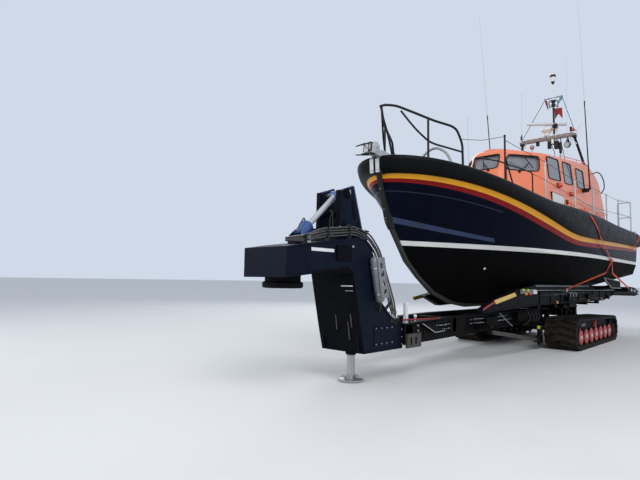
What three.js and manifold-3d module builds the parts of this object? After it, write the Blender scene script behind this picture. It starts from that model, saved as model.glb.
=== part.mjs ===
// A water-jet rescue boat standing in the cradle of its tracked launch carriage.
// Millimetres. +X is the bow, +Y is port, +Z is up. The ground is Z = 0.
// Inside the file X = 0 is the boat's transom; the last lines move the origin to mid-length.

import * as THREE from 'three';
import { mergeVertices } from 'three/addons/utils/BufferGeometryUtils.js';
import Module from 'manifold-3d';

const wasm = await Module();
wasm.setup();

// General sizes
const GAP = 0.3;
const FRONT_END = 16400;
const REAR_END = -3200;
const MIDDLE_X = (FRONT_END + REAR_END) / 2;

// Boat
const DECK_Z = 3780;
const KEEL_BAND_Z = 1220;
const KEEL_BAND_HALF = 32;
const KEEL_BAND_THICK = 23;
const FENDER_DEPTH = 140;
const HOUSE_WALL = 60;
const ROOF_CROWN = 75;
const BEAM_X = 3090;
const BEAM_Z = 7130;
const BEAM_HALF = 980;
const POST_X = 2320;
const JET_Y = 850;
const JET_Z = 2200;

// Carriage
const GROUND = 0;
const CHASSIS_TOP = 1090;
const CHASSIS_BOTTOM = 720;
const CHASSIS_HALF = 560;
const CHASSIS_FRONT = 13300;
const JACK_X = 14250;
const TURN_X = 4400;
const TURN_RADIUS = 620;
const CRADLE_BOTTOM = 1130;
const RAIL_Y = 1000;
const RAIL_TOP = 1800;
const TRACK_IN = 980;
const TRACK_OUT = 1820;
const AXLE_X = 4450;

// Materials: colour, roughness, metalness
const PAINTS = {
  hull: [0x0e1a33, 0.35, 0.0],
  rubber: [0x101112, 0.75, 0.0],
  orange: [0xe8683c, 0.45, 0.0],
  glass: [0x6f7b82, 0.1, 0.0],
  white: [0xe6e4dc, 0.5, 0.0],
  black: [0x16171a, 0.5, 0.1],
  steel: [0x9aa0a4, 0.4, 0.8],
  grey: [0x5d6468, 0.5, 0.4],
  blue: [0x101a2c, 0.4, 0.2],
  red: [0xb3242a, 0.5, 0.0],
};

const boat = new THREE.Group();
const carriage = new THREE.Group();
const group = new THREE.Group();
group.add(boat, carriage);

// Shape helpers

function plain(geometry) {
  const copy = geometry.clone();
  copy.deleteAttribute('normal');
  copy.deleteAttribute('uv');
  return mergeVertices(copy, 1e-3);
}

function solid(geometry) {
  const merged = plain(geometry);
  return new wasm.Manifold(new wasm.Mesh({
    numProp: 3,
    vertProperties: new Float32Array(merged.attributes.position.array),
    triVerts: new Uint32Array(merged.index.array),
  }));
}

function shapeOf(body) {
  const mesh = body.getMesh();
  const geometry = new THREE.BufferGeometry();
  geometry.setAttribute('position', new THREE.BufferAttribute(mesh.vertProperties, 3));
  geometry.setIndex(Array.from(mesh.triVerts));
  return geometry;
}

function join(...pieces) {
  return shapeOf(pieces.map(solid).reduce((sum, piece) => sum.add(piece)));
}

function cut(base, ...tools) {
  return shapeOf(tools.map(solid).reduce((rest, tool) => rest.subtract(tool), solid(base)));
}

function moved(geometry, x, y, z) {
  return geometry.clone().translate(x, y, z);
}

// Cuts a piece back to just clear of each support, so that it rests on them.
function seated(piece, ...supports) {
  const steps = [[GAP, 0, 0], [-GAP, 0, 0], [0, GAP, 0], [0, -GAP, 0], [0, 0, GAP], [0, 0, -GAP]];
  return cut(piece, ...supports.flatMap((support) => steps.map((step) => moved(support, ...step))));
}

function mirrored(geometry) {
  const copy = plain(geometry).scale(1, -1, 1);
  const index = copy.index.array;
  for (let i = 0; i < index.length; i += 3) {
    [index[i], index[i + 1]] = [index[i + 1], index[i]];
  }
  return copy;
}

function box(x0, x1, y0, y1, z0, z1) {
  const geometry = new THREE.BoxGeometry(x1 - x0, y1 - y0, z1 - z0);
  return geometry.translate((x0 + x1) / 2, (y0 + y1) / 2, (z0 + z1) / 2);
}

// A round bar from point a to point b, with its own radius at each end.
function rod(a, b, radius, sides = 8, endRadius = radius) {
  const from = new THREE.Vector3(...a);
  const to = new THREE.Vector3(...b);
  const along = to.clone().sub(from);
  const geometry = new THREE.CylinderGeometry(endRadius, radius, along.length(), sides);
  const turn = new THREE.Quaternion().setFromUnitVectors(new THREE.Vector3(0, 1, 0), along.normalize());
  geometry.applyQuaternion(turn);
  const middle = from.add(to).multiplyScalar(0.5);
  return geometry.translate(middle.x, middle.y, middle.z);
}

// A bent tube through a few points.
function pipe(points, radius, steps = points.length * 3, sides = 8) {
  const path = new THREE.CatmullRomCurve3(points.map((p) => new THREE.Vector3(...p)), false, 'chordal');
  const section = new THREE.Shape();
  for (let i = 0; i < sides; i += 1) {
    const angle = (2 * Math.PI * i) / sides;
    const corner = [radius * Math.cos(angle), radius * Math.sin(angle)];
    if (i === 0) section.moveTo(...corner);
    else section.lineTo(...corner);
  }
  return new THREE.ExtrudeGeometry(section, { steps, extrudePath: path, bevelEnabled: false });
}

function outlineShape(outline) {
  return new THREE.Shape(outline.map(([u, v]) => new THREE.Vector2(u, v)));
}

// Outline in X and Z, thickness along Y.
function sidePlate(outline, y0, y1) {
  const geometry = new THREE.ExtrudeGeometry(outlineShape(outline), { depth: y1 - y0, bevelEnabled: false });
  return geometry.rotateX(Math.PI / 2).translate(0, y1, 0);
}

// Outline in X and Y, thickness along Z.
function flatPlate(outline, z0, z1) {
  const geometry = new THREE.ExtrudeGeometry(outlineShape(outline), { depth: z1 - z0, bevelEnabled: false });
  return geometry.translate(0, 0, z0);
}

// A closed body through rings of equally many points. Its two ends are closed with fans.
function loft(rings) {
  const points = [];
  const keys = new Map();
  const faces = [];
  const indexOf = (p) => {
    const key = p.map((v) => Math.round(v * 1000)).join();
    if (!keys.has(key)) {
      keys.set(key, points.length);
      points.push(p);
    }
    return keys.get(key);
  };
  const rows = rings.map((ring) => ring.map(indexOf));
  const face = (a, b, c) => {
    if (a !== b && b !== c && c !== a) faces.push([a, b, c]);
  };
  const count = rings[0].length;
  for (let i = 0; i + 1 < rows.length; i += 1) {
    for (let j = 0; j < count; j += 1) {
      const k = (j + 1) % count;
      face(rows[i][j], rows[i + 1][j], rows[i + 1][k]);
      face(rows[i][j], rows[i + 1][k], rows[i][k]);
    }
  }
  const first = rows[0];
  const last = rows[rows.length - 1];
  for (let j = 1; j + 1 < count; j += 1) {
    face(first[0], first[j], first[j + 1]);
    face(last[0], last[j + 1], last[j]);
  }
  return bodyFrom(points, faces);
}

// Turns a list of points and faces into a geometry whose faces point out.
function bodyFrom(points, faces) {
  let volume = 0;
  for (const [a, b, c] of faces) {
    const [p, q, r] = [points[a], points[b], points[c]];
    volume += p[0] * (q[1] * r[2] - q[2] * r[1]);
    volume += p[1] * (q[2] * r[0] - q[0] * r[2]);
    volume += p[2] * (q[0] * r[1] - q[1] * r[0]);
  }
  const outward = volume > 0 ? faces : faces.map(([a, b, c]) => [a, c, b]);
  const geometry = new THREE.BufferGeometry();
  geometry.setAttribute('position', new THREE.Float32BufferAttribute(points.flat(), 3));
  geometry.setIndex(outward.flat());
  return geometry;
}

function add(parent, name, geometry, paint) {
  const [color, roughness, metalness] = PAINTS[paint];
  const mesh = new THREE.Mesh(geometry, new THREE.MeshStandardMaterial({ color, roughness, metalness }));
  mesh.name = name;
  parent.add(mesh);
}

// The same piece on both sides of the boat.
function addPair(parent, name, geometry, paint) {
  add(parent, `${name}_port`, geometry, paint);
  add(parent, `${name}_starboard`, mirrored(geometry), paint);
}

// Hull lines, keel to deck edge. Each line runs from the transom to its end on the stem.
// Columns: half-breadth at the transom and amidships, height at the transom and amidships,
// stem end X and Z, where the taper starts, its power and root, where the rise starts, its power,
// and how much the rise levels off towards the stem.
const HULL_LINES = [
  [0, 0, 1620, 1245, 9720, 1245, 0.3, 2.0, 1.0, 0.8, 1.0, 0],
  [490, 490, 1778, 1400, 10600, 1360, 0.3, 2.0, 0.9, 0.7, 1.0, 0],
  [975, 975, 1935, 1640, 11410, 1610, 0.3, 2.0, 0.9, 0.7, 1.0, 0],
  [1460, 1460, 2093, 1960, 12000, 1960, 0.29, 2.0, 0.9, 0.7, 1.0, 0],
  [1950, 1950, 2250, 2240, 12450, 2280, 0.28, 2.0, 0.95, 0.6, 1.0, 0],
  [2050, 2050, 2550, 2560, 13100, 3060, 0.36, 2.2, 1.0, 0.45, 2.0, 0],
  [2060, 2060, 2610, 2640, 13150, 3190, 0.36, 2.2, 1.0, 0.45, 2.1, 0],
  [2110, 2130, 3250, 3120, 13410, 4005, 0.35, 2.38, 0.55, 0.55, 1.37, 1.3],
  [2110, 2140, DECK_Z, DECK_Z, 13475, 4300, 0.366, 1.9, 0.46, 0.66, 1.36, 0.91],
];
const FENDER_FOOT_LINE = 7;
const DECK_EDGE_LINE = 8;
const FOREFOOT_LINES = 5;
const STATIONS = [0, 0.13, 0.26, 0.38, 0.49, 0.59, 0.66, 0.73, 0.79, 0.85, 0.9, 0.94, 0.97, 0.99, 1];

function smooth(t) {
  const u = Math.min(1, Math.max(0, t));
  return u * u * (3 - 2 * u);
}

function hullPoint(line, s) {
  const [yAft, yMid, zAft, zMid, xEnd, zEnd, taper, power, root, ...sheer] = HULL_LINES[line];
  const [rise, risePower, level] = sheer;
  const t = Math.max(0, (s - taper) / (1 - taper));
  const y = (yAft + (yMid - yAft) * smooth(s / taper)) * Math.max(0, 1 - t ** power) ** root;
  const r = Math.max(0, (s - rise) / (1 - rise));
  const z = zAft + (zMid - zAft) * smooth(s / rise) + (zEnd - zMid) * r ** risePower * (1 + level * (1 - r));
  return [xEnd * s, y, z];
}

function toStarboard([x, y, z]) {
  return [x, -y, z];
}

// Half-breadth and height of a hull line at a given X.
function hullAt(line, x) {
  return hullPoint(line, Math.min(1, Math.max(0, x / HULL_LINES[line][4])));
}

function hullBody() {
  const rings = STATIONS.map((s) => {
    const port = HULL_LINES.map((row, line) => hullPoint(line, s));
    const starboard = port.slice(1).reverse().map(toStarboard);
    return [...port, ...starboard];
  });
  return loft(rings);
}

const hull = hullBody();
add(boat, 'hull', hull, 'hull');

// Rubber fender: a full, round-nosed band outside the deck edge, right round the bow.
const FENDER_ARC = [0, 28, 62, 90, 118, 152, 180];
const FENDER_FULLNESS = 0.7;
// Height of the fender's top above the deck edge, at the stern and from amidships forward.
const FENDER_RISE = { aft: -45, fore: 60, from: 0.15, to: 0.6 };

function fenderRing(s) {
  const foot = hullPoint(FENDER_FOOT_LINE, s);
  const edge = hullPoint(DECK_EDGE_LINE, s);
  const ahead = hullPoint(DECK_EDGE_LINE, Math.min(1, s + 0.004));
  const behind = hullPoint(DECK_EDGE_LINE, Math.max(0, s - 0.004));
  const slope = new THREE.Vector2(behind[1] - ahead[1], ahead[0] - behind[0]).normalize();
  const out = s === 1 ? new THREE.Vector2(1, 0) : slope;
  const shift = (p, depth, rise) => [p[0] + out.x * depth, p[1] + out.y * depth, p[2] + rise];
  const low = shift(foot, 2 * GAP, 0);
  const inner = shift(edge, 2 * GAP, 0);
  const { aft, fore, from, to } = FENDER_RISE;
  const top = shift(edge, 2 * GAP, aft + (fore - aft) * smooth((s - from) / (to - from)));
  const centre = low.map((v, i) => (v + top[i]) / 2);
  const half = low.map((v, i) => (top[i] - v) / 2);
  const ring = [low, inner];
  for (const degrees of FENDER_ARC.slice(0, -1)) {
    const angle = (degrees * Math.PI) / 180;
    const up = Math.sign(Math.cos(angle)) * Math.abs(Math.cos(angle)) ** FENDER_FULLNESS;
    const depth = FENDER_DEPTH * Math.sin(angle) ** FENDER_FULLNESS;
    ring.push([
      centre[0] + half[0] * up + out.x * depth,
      centre[1] + half[1] * up + out.y * depth,
      centre[2] + half[2] * up,
    ]);
  }
  return ring.map((p) => (s === 1 ? [p[0], 0, p[2]] : p));
}

const fenderPort = STATIONS.map(fenderRing);
const fenderStarboard = fenderPort.slice(0, -1).reverse().map((ring) => ring.map(toStarboard));
const fender = loft([...fenderPort, ...fenderStarboard]);
add(boat, 'fender', fender, 'rubber');

// Metal band under the keel and forefoot that takes the ground, and a wider band up the stem.
const STEM_BAND = { half: 70, back: 170, ahead: 34, foot: [12380, 2150], head: [13405, 3975] };
function stemBand() {
  const { half, back, ahead, foot, head } = STEM_BAND;
  const stem = HULL_LINES.slice(FOREFOOT_LINES - 1, FENDER_FOOT_LINE).map((row) => [row[4], row[5]]);
  const front = [foot, ...stem, head];
  const inner = front.map(([x, z]) => [x - back, z]);
  const outer = front.map(([x, z]) => [x + ahead, z - ahead / 2]);
  return sidePlate([...inner, ...outer.reverse()], -half, half);
}

function keelBand() {
  const keel = STATIONS.slice(1).map((s) => hullPoint(0, s));
  const stem = HULL_LINES.slice(1, FOREFOOT_LINES).map((row) => [row[4], 0, row[5]]);
  const top = [...keel, ...stem].map(([x, y, z]) => [x, z]);
  const inner = top.map(([x, z]) => [x + 2 * GAP, z - 2 * GAP]);
  const outer = [];
  for (let i = 0; i < top.length; i += 1) {
    const [x, z] = top[i];
    const forefoot = i >= keel.length - 1;
    outer.push(forefoot ? [x + KEEL_BAND_THICK, z - KEEL_BAND_THICK] : [x, KEEL_BAND_Z]);
  }
  const under = sidePlate([...inner, ...outer.reverse()], -KEEL_BAND_HALF, KEEL_BAND_HALF);
  return seated(join(under, stemBand()), hull);
}
const band = keelBand();
add(boat, 'keel_band', band, 'steel');

// Wheelhouse. Levels give the plan of the outer skin: height, front face X and half-width,
// front corner X, half-width of the side. The last level is the edge of the roof at the front.
const HOUSE_AFT = 1050;
const HOUSE_LEVELS = [
  { z: DECK_Z + GAP, frontX: 8850, frontY: 520, cornerX: 7700, sideY: 1400 },
  { z: 4900, frontX: 8480, frontY: 440, cornerX: 7330, sideY: 1275 },
  { z: 5560, frontX: 8180, frontY: 400, cornerX: 7080, sideY: 1190 },
];
const ROOF_LEVEL = HOUSE_LEVELS.length - 1;
// The flat top of the roof is smaller than the roof's edge: ahead, astern, and as a share of width.
const CROWN_SET_BACK = 140;
const CROWN_SET_IN = 60;
const CROWN_SHARE = 0.82;
// Points along the side, front to back, and the height of the roof's edge there.
const HOUSE_MID = 5280;
const EAVES = [[HOUSE_MID, 5750], [2700, 6020], [1900, 5895], [1300, 5675], [HOUSE_AFT, 5360]];

function houseRing(level, inset, isRoof) {
  const half = [
    [level.frontX - inset, level.frontY - inset * 0.4, level.z],
    [level.cornerX - inset * 0.5, level.sideY - inset, level.z],
  ];
  for (const [x, eave] of EAVES) {
    const aft = x === HOUSE_AFT ? inset : 0;
    half.push([x + aft, level.sideY - inset, isRoof ? eave : level.z]);
  }
  return [...half, ...half.slice().reverse().map(toStarboard)];
}

// The wheelhouse's outer skin, or a smaller copy of it drawn in by inset and open below.
function houseBody(inset) {
  const rings = HOUSE_LEVELS.map((level, i) => {
    const isRoof = i === ROOF_LEVEL;
    const openFoot = i === 0 && inset > 0 ? HOUSE_WALL : 0;
    const drop = isRoof ? inset : openFoot;
    return houseRing(level, inset, isRoof).map(([x, y, z]) => [x, y, z - drop]);
  });
  const crown = rings[ROOF_LEVEL].map(([x, y, z]) => {
    const inward = x > HOUSE_MID ? -CROWN_SET_BACK : CROWN_SET_IN;
    return [x + inward, y * CROWN_SHARE, z + ROOF_CROWN];
  });
  return cappedLoft([...rings, crown]);
}

// Rings whose points run down port and back up starboard, closed with strips across.
function cappedLoft(rings) {
  const count = rings[0].length;
  const points = rings.flat();
  const faces = [];
  for (let i = 0; i + 1 < rings.length; i += 1) {
    for (let j = 0; j < count; j += 1) {
      const k = (j + 1) % count;
      const [a, b, c, d] = [i * count + j, (i + 1) * count + j, (i + 1) * count + k, i * count + k];
      if (j < count / 2) faces.push([a, b, c], [a, c, d]);
      else faces.push([a, b, d], [b, c, d]);
    }
  }
  const top = (rings.length - 1) * count;
  for (let j = 0; j < count / 2 - 1; j += 1) {
    const [a, b, c, d] = [j, j + 1, count - 2 - j, count - 1 - j];
    faces.push([a, b, c], [a, c, d]);
    faces.push([top + a, top + c, top + b], [top + a, top + d, top + c]);
  }
  return bodyFrom(points, faces);
}

// Side windows: front top, front bottom, aft bottom and aft top corners in X and Z.
const SIDE_WINDOWS = [
  [[7020, 5480], [7120, 4810], [6010, 4900], [6010, 5560]],
  [[5620, 5590], [5640, 4900], [4790, 4970], [4790, 5650]],
  [[4290, 5630], [4310, 4990], [3450, 5010], [3450, 5660]],
];
// Front windows: centre pane and corner pane, as half-widths and heights on the front face.
const FRONT_WINDOW = { low: 5010, high: 5440, half: 370 };
const CORNER_WINDOW = { low: 4960, high: 5430, from: 0.13, to: 0.86 };
const AFT_DOORWAY = { y0: -360, y1: 340, z0: DECK_Z + 60, z1: 5250 };
const DOOR_LIP = 50;

function lerp(a, b, t) {
  return a + (b - a) * t;
}

// A point on the corner face of the house, between the front face and the side.
function cornerFacePoint(along, z, out) {
  const [low, high] = HOUSE_LEVELS.slice(1);
  const t = (z - low.z) / (high.z - low.z);
  const front = [lerp(low.frontX, high.frontX, t), lerp(low.frontY, high.frontY, t)];
  const side = [lerp(low.cornerX, high.cornerX, t), lerp(low.sideY, high.sideY, t)];
  const normal = new THREE.Vector2(side[1] - front[1], front[0] - side[0]).normalize();
  return [
    lerp(front[0], side[0], along) + normal.x * out,
    lerp(front[1], side[1], along) + normal.y * out,
    z,
  ];
}

function cornerWindowCutter(margin, inner, outer) {
  const { low, high, from, to } = CORNER_WINDOW;
  const grow = margin / 1200;
  const corners = [
    [from - grow, low - margin], [to + grow, low - margin],
    [to + grow, high + margin], [from - grow, high + margin],
  ];
  const ring = (out) => corners.map(([along, z]) => cornerFacePoint(along, z, out));
  return loft([ring(inner), ring(outer)]);
}

function windowCutters() {
  const cutters = [];
  for (const corners of SIDE_WINDOWS) {
    cutters.push(sidePlate(corners, 1000, 1500), sidePlate(corners, -1500, -1000));
  }
  const { low, high, half } = FRONT_WINDOW;
  cutters.push(box(7900, 8900, -half, half, low, high));
  const corner = cornerWindowCutter(0, -150, 150);
  cutters.push(corner, mirrored(corner));
  const { y0, y1, z0, z1 } = AFT_DOORWAY;
  cutters.push(box(HOUSE_AFT - 50, HOUSE_AFT + HOUSE_WALL + 50, y0, y1, z0, z1));
  return cutters;
}

const houseOuter = houseBody(0);
const houseInner = houseBody(HOUSE_WALL);
add(boat, 'wheelhouse', cut(houseOuter, houseInner, ...windowCutters()), 'orange');

// Glazing: one sheet behind each side wall, and one behind each front face.
const GLASS = 12;
const glassOuter = houseBody(HOUSE_WALL + GAP);
const glassInner = houseBody(HOUSE_WALL + GAP + GLASS);
const glazing = solid(glassOuter).subtract(solid(glassInner));

function glazingPart(region) {
  return shapeOf(glazing.intersect(solid(region)));
}
const sideGlazing = glazingPart(box(3300, 7150, 900, 1500, 4780, 5700));
const cornerRegion = cornerWindowCutter(45, -160, -20);
addPair(boat, 'glazing_side', sideGlazing, 'glass');
addPair(boat, 'glazing_corner', glazingPart(cornerRegion), 'glass');
add(boat, 'glazing_front', glazingPart(box(7900, 8900, -385, 385, 4960, 5500)), 'glass');

// Aft door on the outside of the aft wall, hinged on its port edge.
const DOOR_THICK = 45;
const doorPanel = box(
  HOUSE_AFT - GAP - DOOR_THICK, HOUSE_AFT - GAP,
  AFT_DOORWAY.y0 - DOOR_LIP, AFT_DOORWAY.y1 + DOOR_LIP,
  AFT_DOORWAY.z0 - DOOR_LIP, AFT_DOORWAY.z1 + DOOR_LIP,
);
const doorLight = box(HOUSE_AFT - 100, HOUSE_AFT, -200, 180, 4800, 5130);
add(boat, 'aft_door', cut(doorPanel, doorLight), 'orange');

// Helm console and seats, seen through the windows.
const FLOOR = DECK_Z + GAP;
const CONSOLE_HALF = 850;
const helmConsole = join(
  box(6500, 7100, -CONSOLE_HALF, CONSOLE_HALF, FLOOR, 4560),
  sidePlate([[6450, 4520], [6900, 4520], [6800, 4760], [6700, 4760]], -CONSOLE_HALF, CONSOLE_HALF),
);
add(boat, 'helm_console', helmConsole, 'black');

// A row of seats on one plinth. Each seat has a pedestal, a squab and a back.
function seatRow(x, seats) {
  const pieces = [box(x - 250, x + 250, -950, 950, FLOOR, FLOOR + 60)];
  for (const y of seats) {
    pieces.push(box(x - 120, x + 120, y - 110, y + 110, FLOOR + 30, 4250));
    pieces.push(box(x - 240, x + 240, y - 230, y + 230, 4230, 4350));
    pieces.push(box(x - 260, x - 150, y - 230, y + 230, 4300, 5050));
  }
  return join(...pieces);
}
add(boat, 'seats_front', seatRow(5900, [-620, 0, 620]), 'black');
add(boat, 'seats_aft', seatRow(4700, [-620, 620]), 'black');

// Mast: a white cross-beam on two raked black legs, with a post and crossbar behind it.
const BEAM_DEEP = 75;
const BEAM_WIDE = 90;
const BEAM_TOP = BEAM_Z + BEAM_DEEP;
const LEG_TOP = BEAM_Z - BEAM_DEEP - GAP;
const mastBeam = box(
  BEAM_X - BEAM_WIDE, BEAM_X + BEAM_WIDE, -BEAM_HALF, BEAM_HALF, LEG_TOP + GAP, BEAM_TOP,
);
add(boat, 'mast_beam', mastBeam, 'white');
const LEG_FOOT_X = 2450;
const legShape = join(
  rod([BEAM_X, 905, LEG_TOP - 40], [LEG_FOOT_X, 1060, 5980], 44),
  box(BEAM_X - BEAM_WIDE, BEAM_X + BEAM_WIDE, 840, 960, LEG_TOP - 60, LEG_TOP),
  box(LEG_FOOT_X - 80, LEG_FOOT_X + 80, 1000, 1120, 5990, 6090),
);
addPair(boat, 'mast_leg', seated(legShape, houseOuter), 'black');

const CROSSBAR_Z = 8880;
const CROSSBAR_HALF = 330;
add(boat, 'mast_post', join(
  box(POST_X - 60, BEAM_X - BEAM_WIDE - GAP, -60, 60, BEAM_Z - 60, BEAM_Z + 40),
  rod([POST_X, 0, BEAM_Z], [POST_X, 0, 8900], 32),
  rod([POST_X, -CROSSBAR_HALF, CROSSBAR_Z], [POST_X, CROSSBAR_HALF, CROSSBAR_Z], 20),
  rod([POST_X, 0, 8800], [POST_X, 0, 9460], 16),
  rod([POST_X, 0, 8540], [POST_X, 0, 8740], 110, 10),
  rod([POST_X, 0, 9440], [POST_X, 0, 9600], 30, 12, 95),
  rod([POST_X, 0, 9590], [POST_X, 0, 9890], 110, 12, 80),
), 'black');

// Stays from the crossbar's ends to the beam's ends.
const stay = join(
  rod([POST_X, CROSSBAR_HALF - 25, CROSSBAR_Z - 26], [BEAM_X - 30, 915, BEAM_TOP + 20], 9, 6),
  box(BEAM_X - 55, BEAM_X - 5, 890, 940, BEAM_TOP + GAP, BEAM_TOP + 30),
);
addPair(boat, 'mast_stay', stay, 'steel');

// Radar: fixed pedestal and a turning scanner that is parked a little off square.
const RADAR_X = 3120;
const RADAR_BOX_TOP = 7560;
const RADAR_BAR = { half: 710, deep: 60, low: 7600, high: 7690, turn: 40 };
add(boat, 'radar_pedestal', join(
  rod([RADAR_X, 0, BEAM_TOP + GAP], [RADAR_X, 0, 7340], 90, 12),
  box(RADAR_X - 150, RADAR_X + 150, -170, 170, 7300, RADAR_BOX_TOP - GAP),
), 'white');
const scanner = join(
  rod([0, 0, RADAR_BOX_TOP], [0, 0, RADAR_BAR.low + 30], 50, 12),
  box(-RADAR_BAR.deep, RADAR_BAR.deep, -RADAR_BAR.half, RADAR_BAR.half, RADAR_BAR.low, RADAR_BAR.high),
);
scanner.rotateZ((RADAR_BAR.turn * Math.PI) / 180).translate(RADAR_X, 0, 0);
add(boat, 'radar_scanner', scanner, 'white');

// Searchlight under the beam and loudhailer above it, both facing forward on the port side.
const LIGHT_Y = 680;
const HORN_Y = 330;
add(boat, 'searchlight', join(
  rod([BEAM_X, LIGHT_Y, LEG_TOP], [BEAM_X, LIGHT_Y, 6800], 30),
  rod([BEAM_X - 110, LIGHT_Y, 6750], [BEAM_X + 110, LIGHT_Y, 6750], 105, 14),
), 'black');
add(boat, 'loudhailer', join(
  box(BEAM_X - 20, BEAM_X + 60, HORN_Y - 40, HORN_Y + 40, BEAM_TOP + GAP, 7440),
  rod([BEAM_X - 60, HORN_Y, 7470], [BEAM_X + 220, HORN_Y, 7470], 45, 12, 110),
), 'white');

// Whip aerials on brackets at the sides of the wheelhouse, folding aft.
// Columns: side, sign of Y, base X, tip X.
const WHIPS = [['port', 1, 3740, 4540], ['starboard', -1, 4330, 5370]];
const WHIP_BASE_Z = 4950;
const WHIP_TIP_Z = 11400;
const WHIP_Y = 1500;
const WHIP_FOOT_R = 32;
for (const [side, sign, baseX, tipX] of WHIPS) {
  const lean = (tipX - baseX) / (WHIP_TIP_Z - WHIP_BASE_Z);
  const at = (z) => [baseX + lean * (z - WHIP_BASE_Z), WHIP_Y, z];
  const whip = join(
    rod(at(WHIP_BASE_Z - 20), at(5250), WHIP_FOOT_R),
    rod(at(5200), at(7770), 19),
    rod(at(7700), at(WHIP_TIP_Z), 8, 6),
  );
  const bracketEnd = WHIP_Y - WHIP_FOOT_R - GAP;
  const bracket = seated(
    box(baseX - 60, baseX + 60, 1150, bracketEnd, WHIP_BASE_Z - 60, WHIP_BASE_Z + 60),
    houseOuter,
  );
  add(boat, `aerial_bracket_${side}`, sign > 0 ? bracket : mirrored(bracket), 'black');
  add(boat, `aerial_${side}`, sign > 0 ? whip : mirrored(whip), 'black');
}

// Foredeck hatch: fixed coaming and hinged lid.
const HATCH_X = 9900;
const HATCH_TOP = 4120;
const HATCH_HALF = 300;
const LID_LIP = 20;
const LID_THICK = 40;
const coaming = seated(
  box(HATCH_X - HATCH_HALF, HATCH_X + HATCH_HALF, -HATCH_HALF, HATCH_HALF, DECK_Z, HATCH_TOP),
  hull,
);
add(boat, 'foredeck_hatch_coaming', coaming, 'orange');
const LID_HALF = HATCH_HALF + LID_LIP;
const hatchLid = box(
  HATCH_X - LID_HALF, HATCH_X + LID_HALF, -LID_HALF, LID_HALF, HATCH_TOP + GAP, HATCH_TOP + LID_THICK,
);
add(boat, 'foredeck_hatch_lid', hatchLid, 'orange');

// Bow roller: two rounded cheeks on a bed at the stem head, with two guide prongs ahead of them.
const CHEEK_IN = 60;
const CHEEK_OUT = 95;
const PRONG_TIP = 14100;
const CHEEK = [
  [13000, 4330], [13420, 4330], [13620, 4400], [13780, 4400], [13850, 4460], [13820, 4580], [13720, 4640],
  [13560, 4620], [13420, 4480], [13000, 4470],
];
const PRONGS = [
  [[13700, 4580], [13740, 4610], [PRONG_TIP, 4460], [PRONG_TIP, 4430]],
  [[13700, 4400], [13740, 4430], [PRONG_TIP, 4300], [PRONG_TIP, 4275]],
];
const rollerPieces = [
  box(13000, 13420, -CHEEK_OUT, CHEEK_OUT, 4250, 4400),
  rod([13700, -CHEEK_IN - 10, 4510], [13700, CHEEK_IN + 10, 4510], 60, 12),
];
for (const sign of [1, -1]) {
  const [near, far] = sign > 0 ? [CHEEK_IN, CHEEK_OUT] : [-CHEEK_OUT, -CHEEK_IN];
  rollerPieces.push(sidePlate(CHEEK, near, far));
  for (const prong of PRONGS) rollerPieces.push(sidePlate(prong, near + 5, far - 5));
}
const bowRoller = cut(seated(join(...rollerPieces), fender), moved(hull, 0, 0, GAP));
add(boat, 'bow_roller', bowRoller, 'grey');

// Deck height at a given X, and a point just inside the deck edge.
function deckEdge(x, inset) {
  const [, y, z] = hullAt(DECK_EDGE_LINE, x);
  return [x, y - inset, z];
}

function deckPost(x, inset, top, radius) {
  const [, y, z] = deckEdge(x, inset);
  return rod([x, y, z - 20], [x, y, top], radius);
}

// Pulpit: two halves that meet at the nose. Top rail, middle rail, a middle post and a rear post.
const PULPIT_R = 19;
const PULPIT_TOP = [
  [13370, 0, 5450], [13300, 60, 5480], [13080, 180, 5500], [12690, 440, 5370], [12260, 610, 5290],
  [11860, 790, 5240], [11720, 845, 5190], [11620, 885, 5000], [11560, 900, 4860], [11540, 905, 4300],
];
const PULPIT_MIDDLE = [
  [12990, 240, 5400], [12710, 410, 5050], [12440, 560, 4820], [12290, 630, 4770], [11920, 780, 4730],
  [11545, 905, 4700],
];
const pulpitHalf = join(
  pipe(PULPIT_TOP, PULPIT_R, 24),
  pipe(PULPIT_MIDDLE, 16, 12),
  rod([12430, 560, 5320], [12430, 560, 4200], PULPIT_R),
  rod([13340, 20, 5462], [13375, 20, 5455], PULPIT_R + 6),
);
const acrossNose = box(13000, 14000, -200, GAP, 5000, 5600);
addPair(boat, 'pulpit', seated(cut(pulpitHalf, acrossNose), hull), 'black');

// Hoop across the foredeck, ahead of the hatch.
const HOOP_X = 11200;
const HOOP_HALF = [[480, deckEdge(HOOP_X, 0)[2] - 30], [440, 4650], [300, 4900], [60, 5030]];
const hoop = pipe([
  ...HOOP_HALF.map(([y, z]) => [HOOP_X, -y, z]),
  ...HOOP_HALF.slice().reverse().map(([y, z]) => [HOOP_X, y, z]),
], 32, 24, 10);
add(boat, 'foredeck_hoop', seated(hoop, hull), 'grey');

// Low rail outboard of the foredeck hatch.
const LOW_RAIL_INSET = 330;
function lowRailPoint(x, z) {
  return [x, deckEdge(x, LOW_RAIL_INSET)[1], z];
}
const LOW_RAIL = [[11390, 4540], [11330, 4590], [10600, 4630], [9880, 4600], [9180, 4580], [9120, 4540]];
function lowRailLeg(x, top) {
  return rod(lowRailPoint(x, deckEdge(x, 0)[2] - 30), lowRailPoint(x, top), 17);
}
const lowRail = join(
  pipe(LOW_RAIL.map(([x, z]) => lowRailPoint(x, z)), 17, 20),
  lowRailLeg(11390, 4545),
  lowRailLeg(10290, 4620),
  lowRailLeg(9120, 4545),
);
addPair(boat, 'foredeck_rail', seated(lowRail, hull), 'black');

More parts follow.
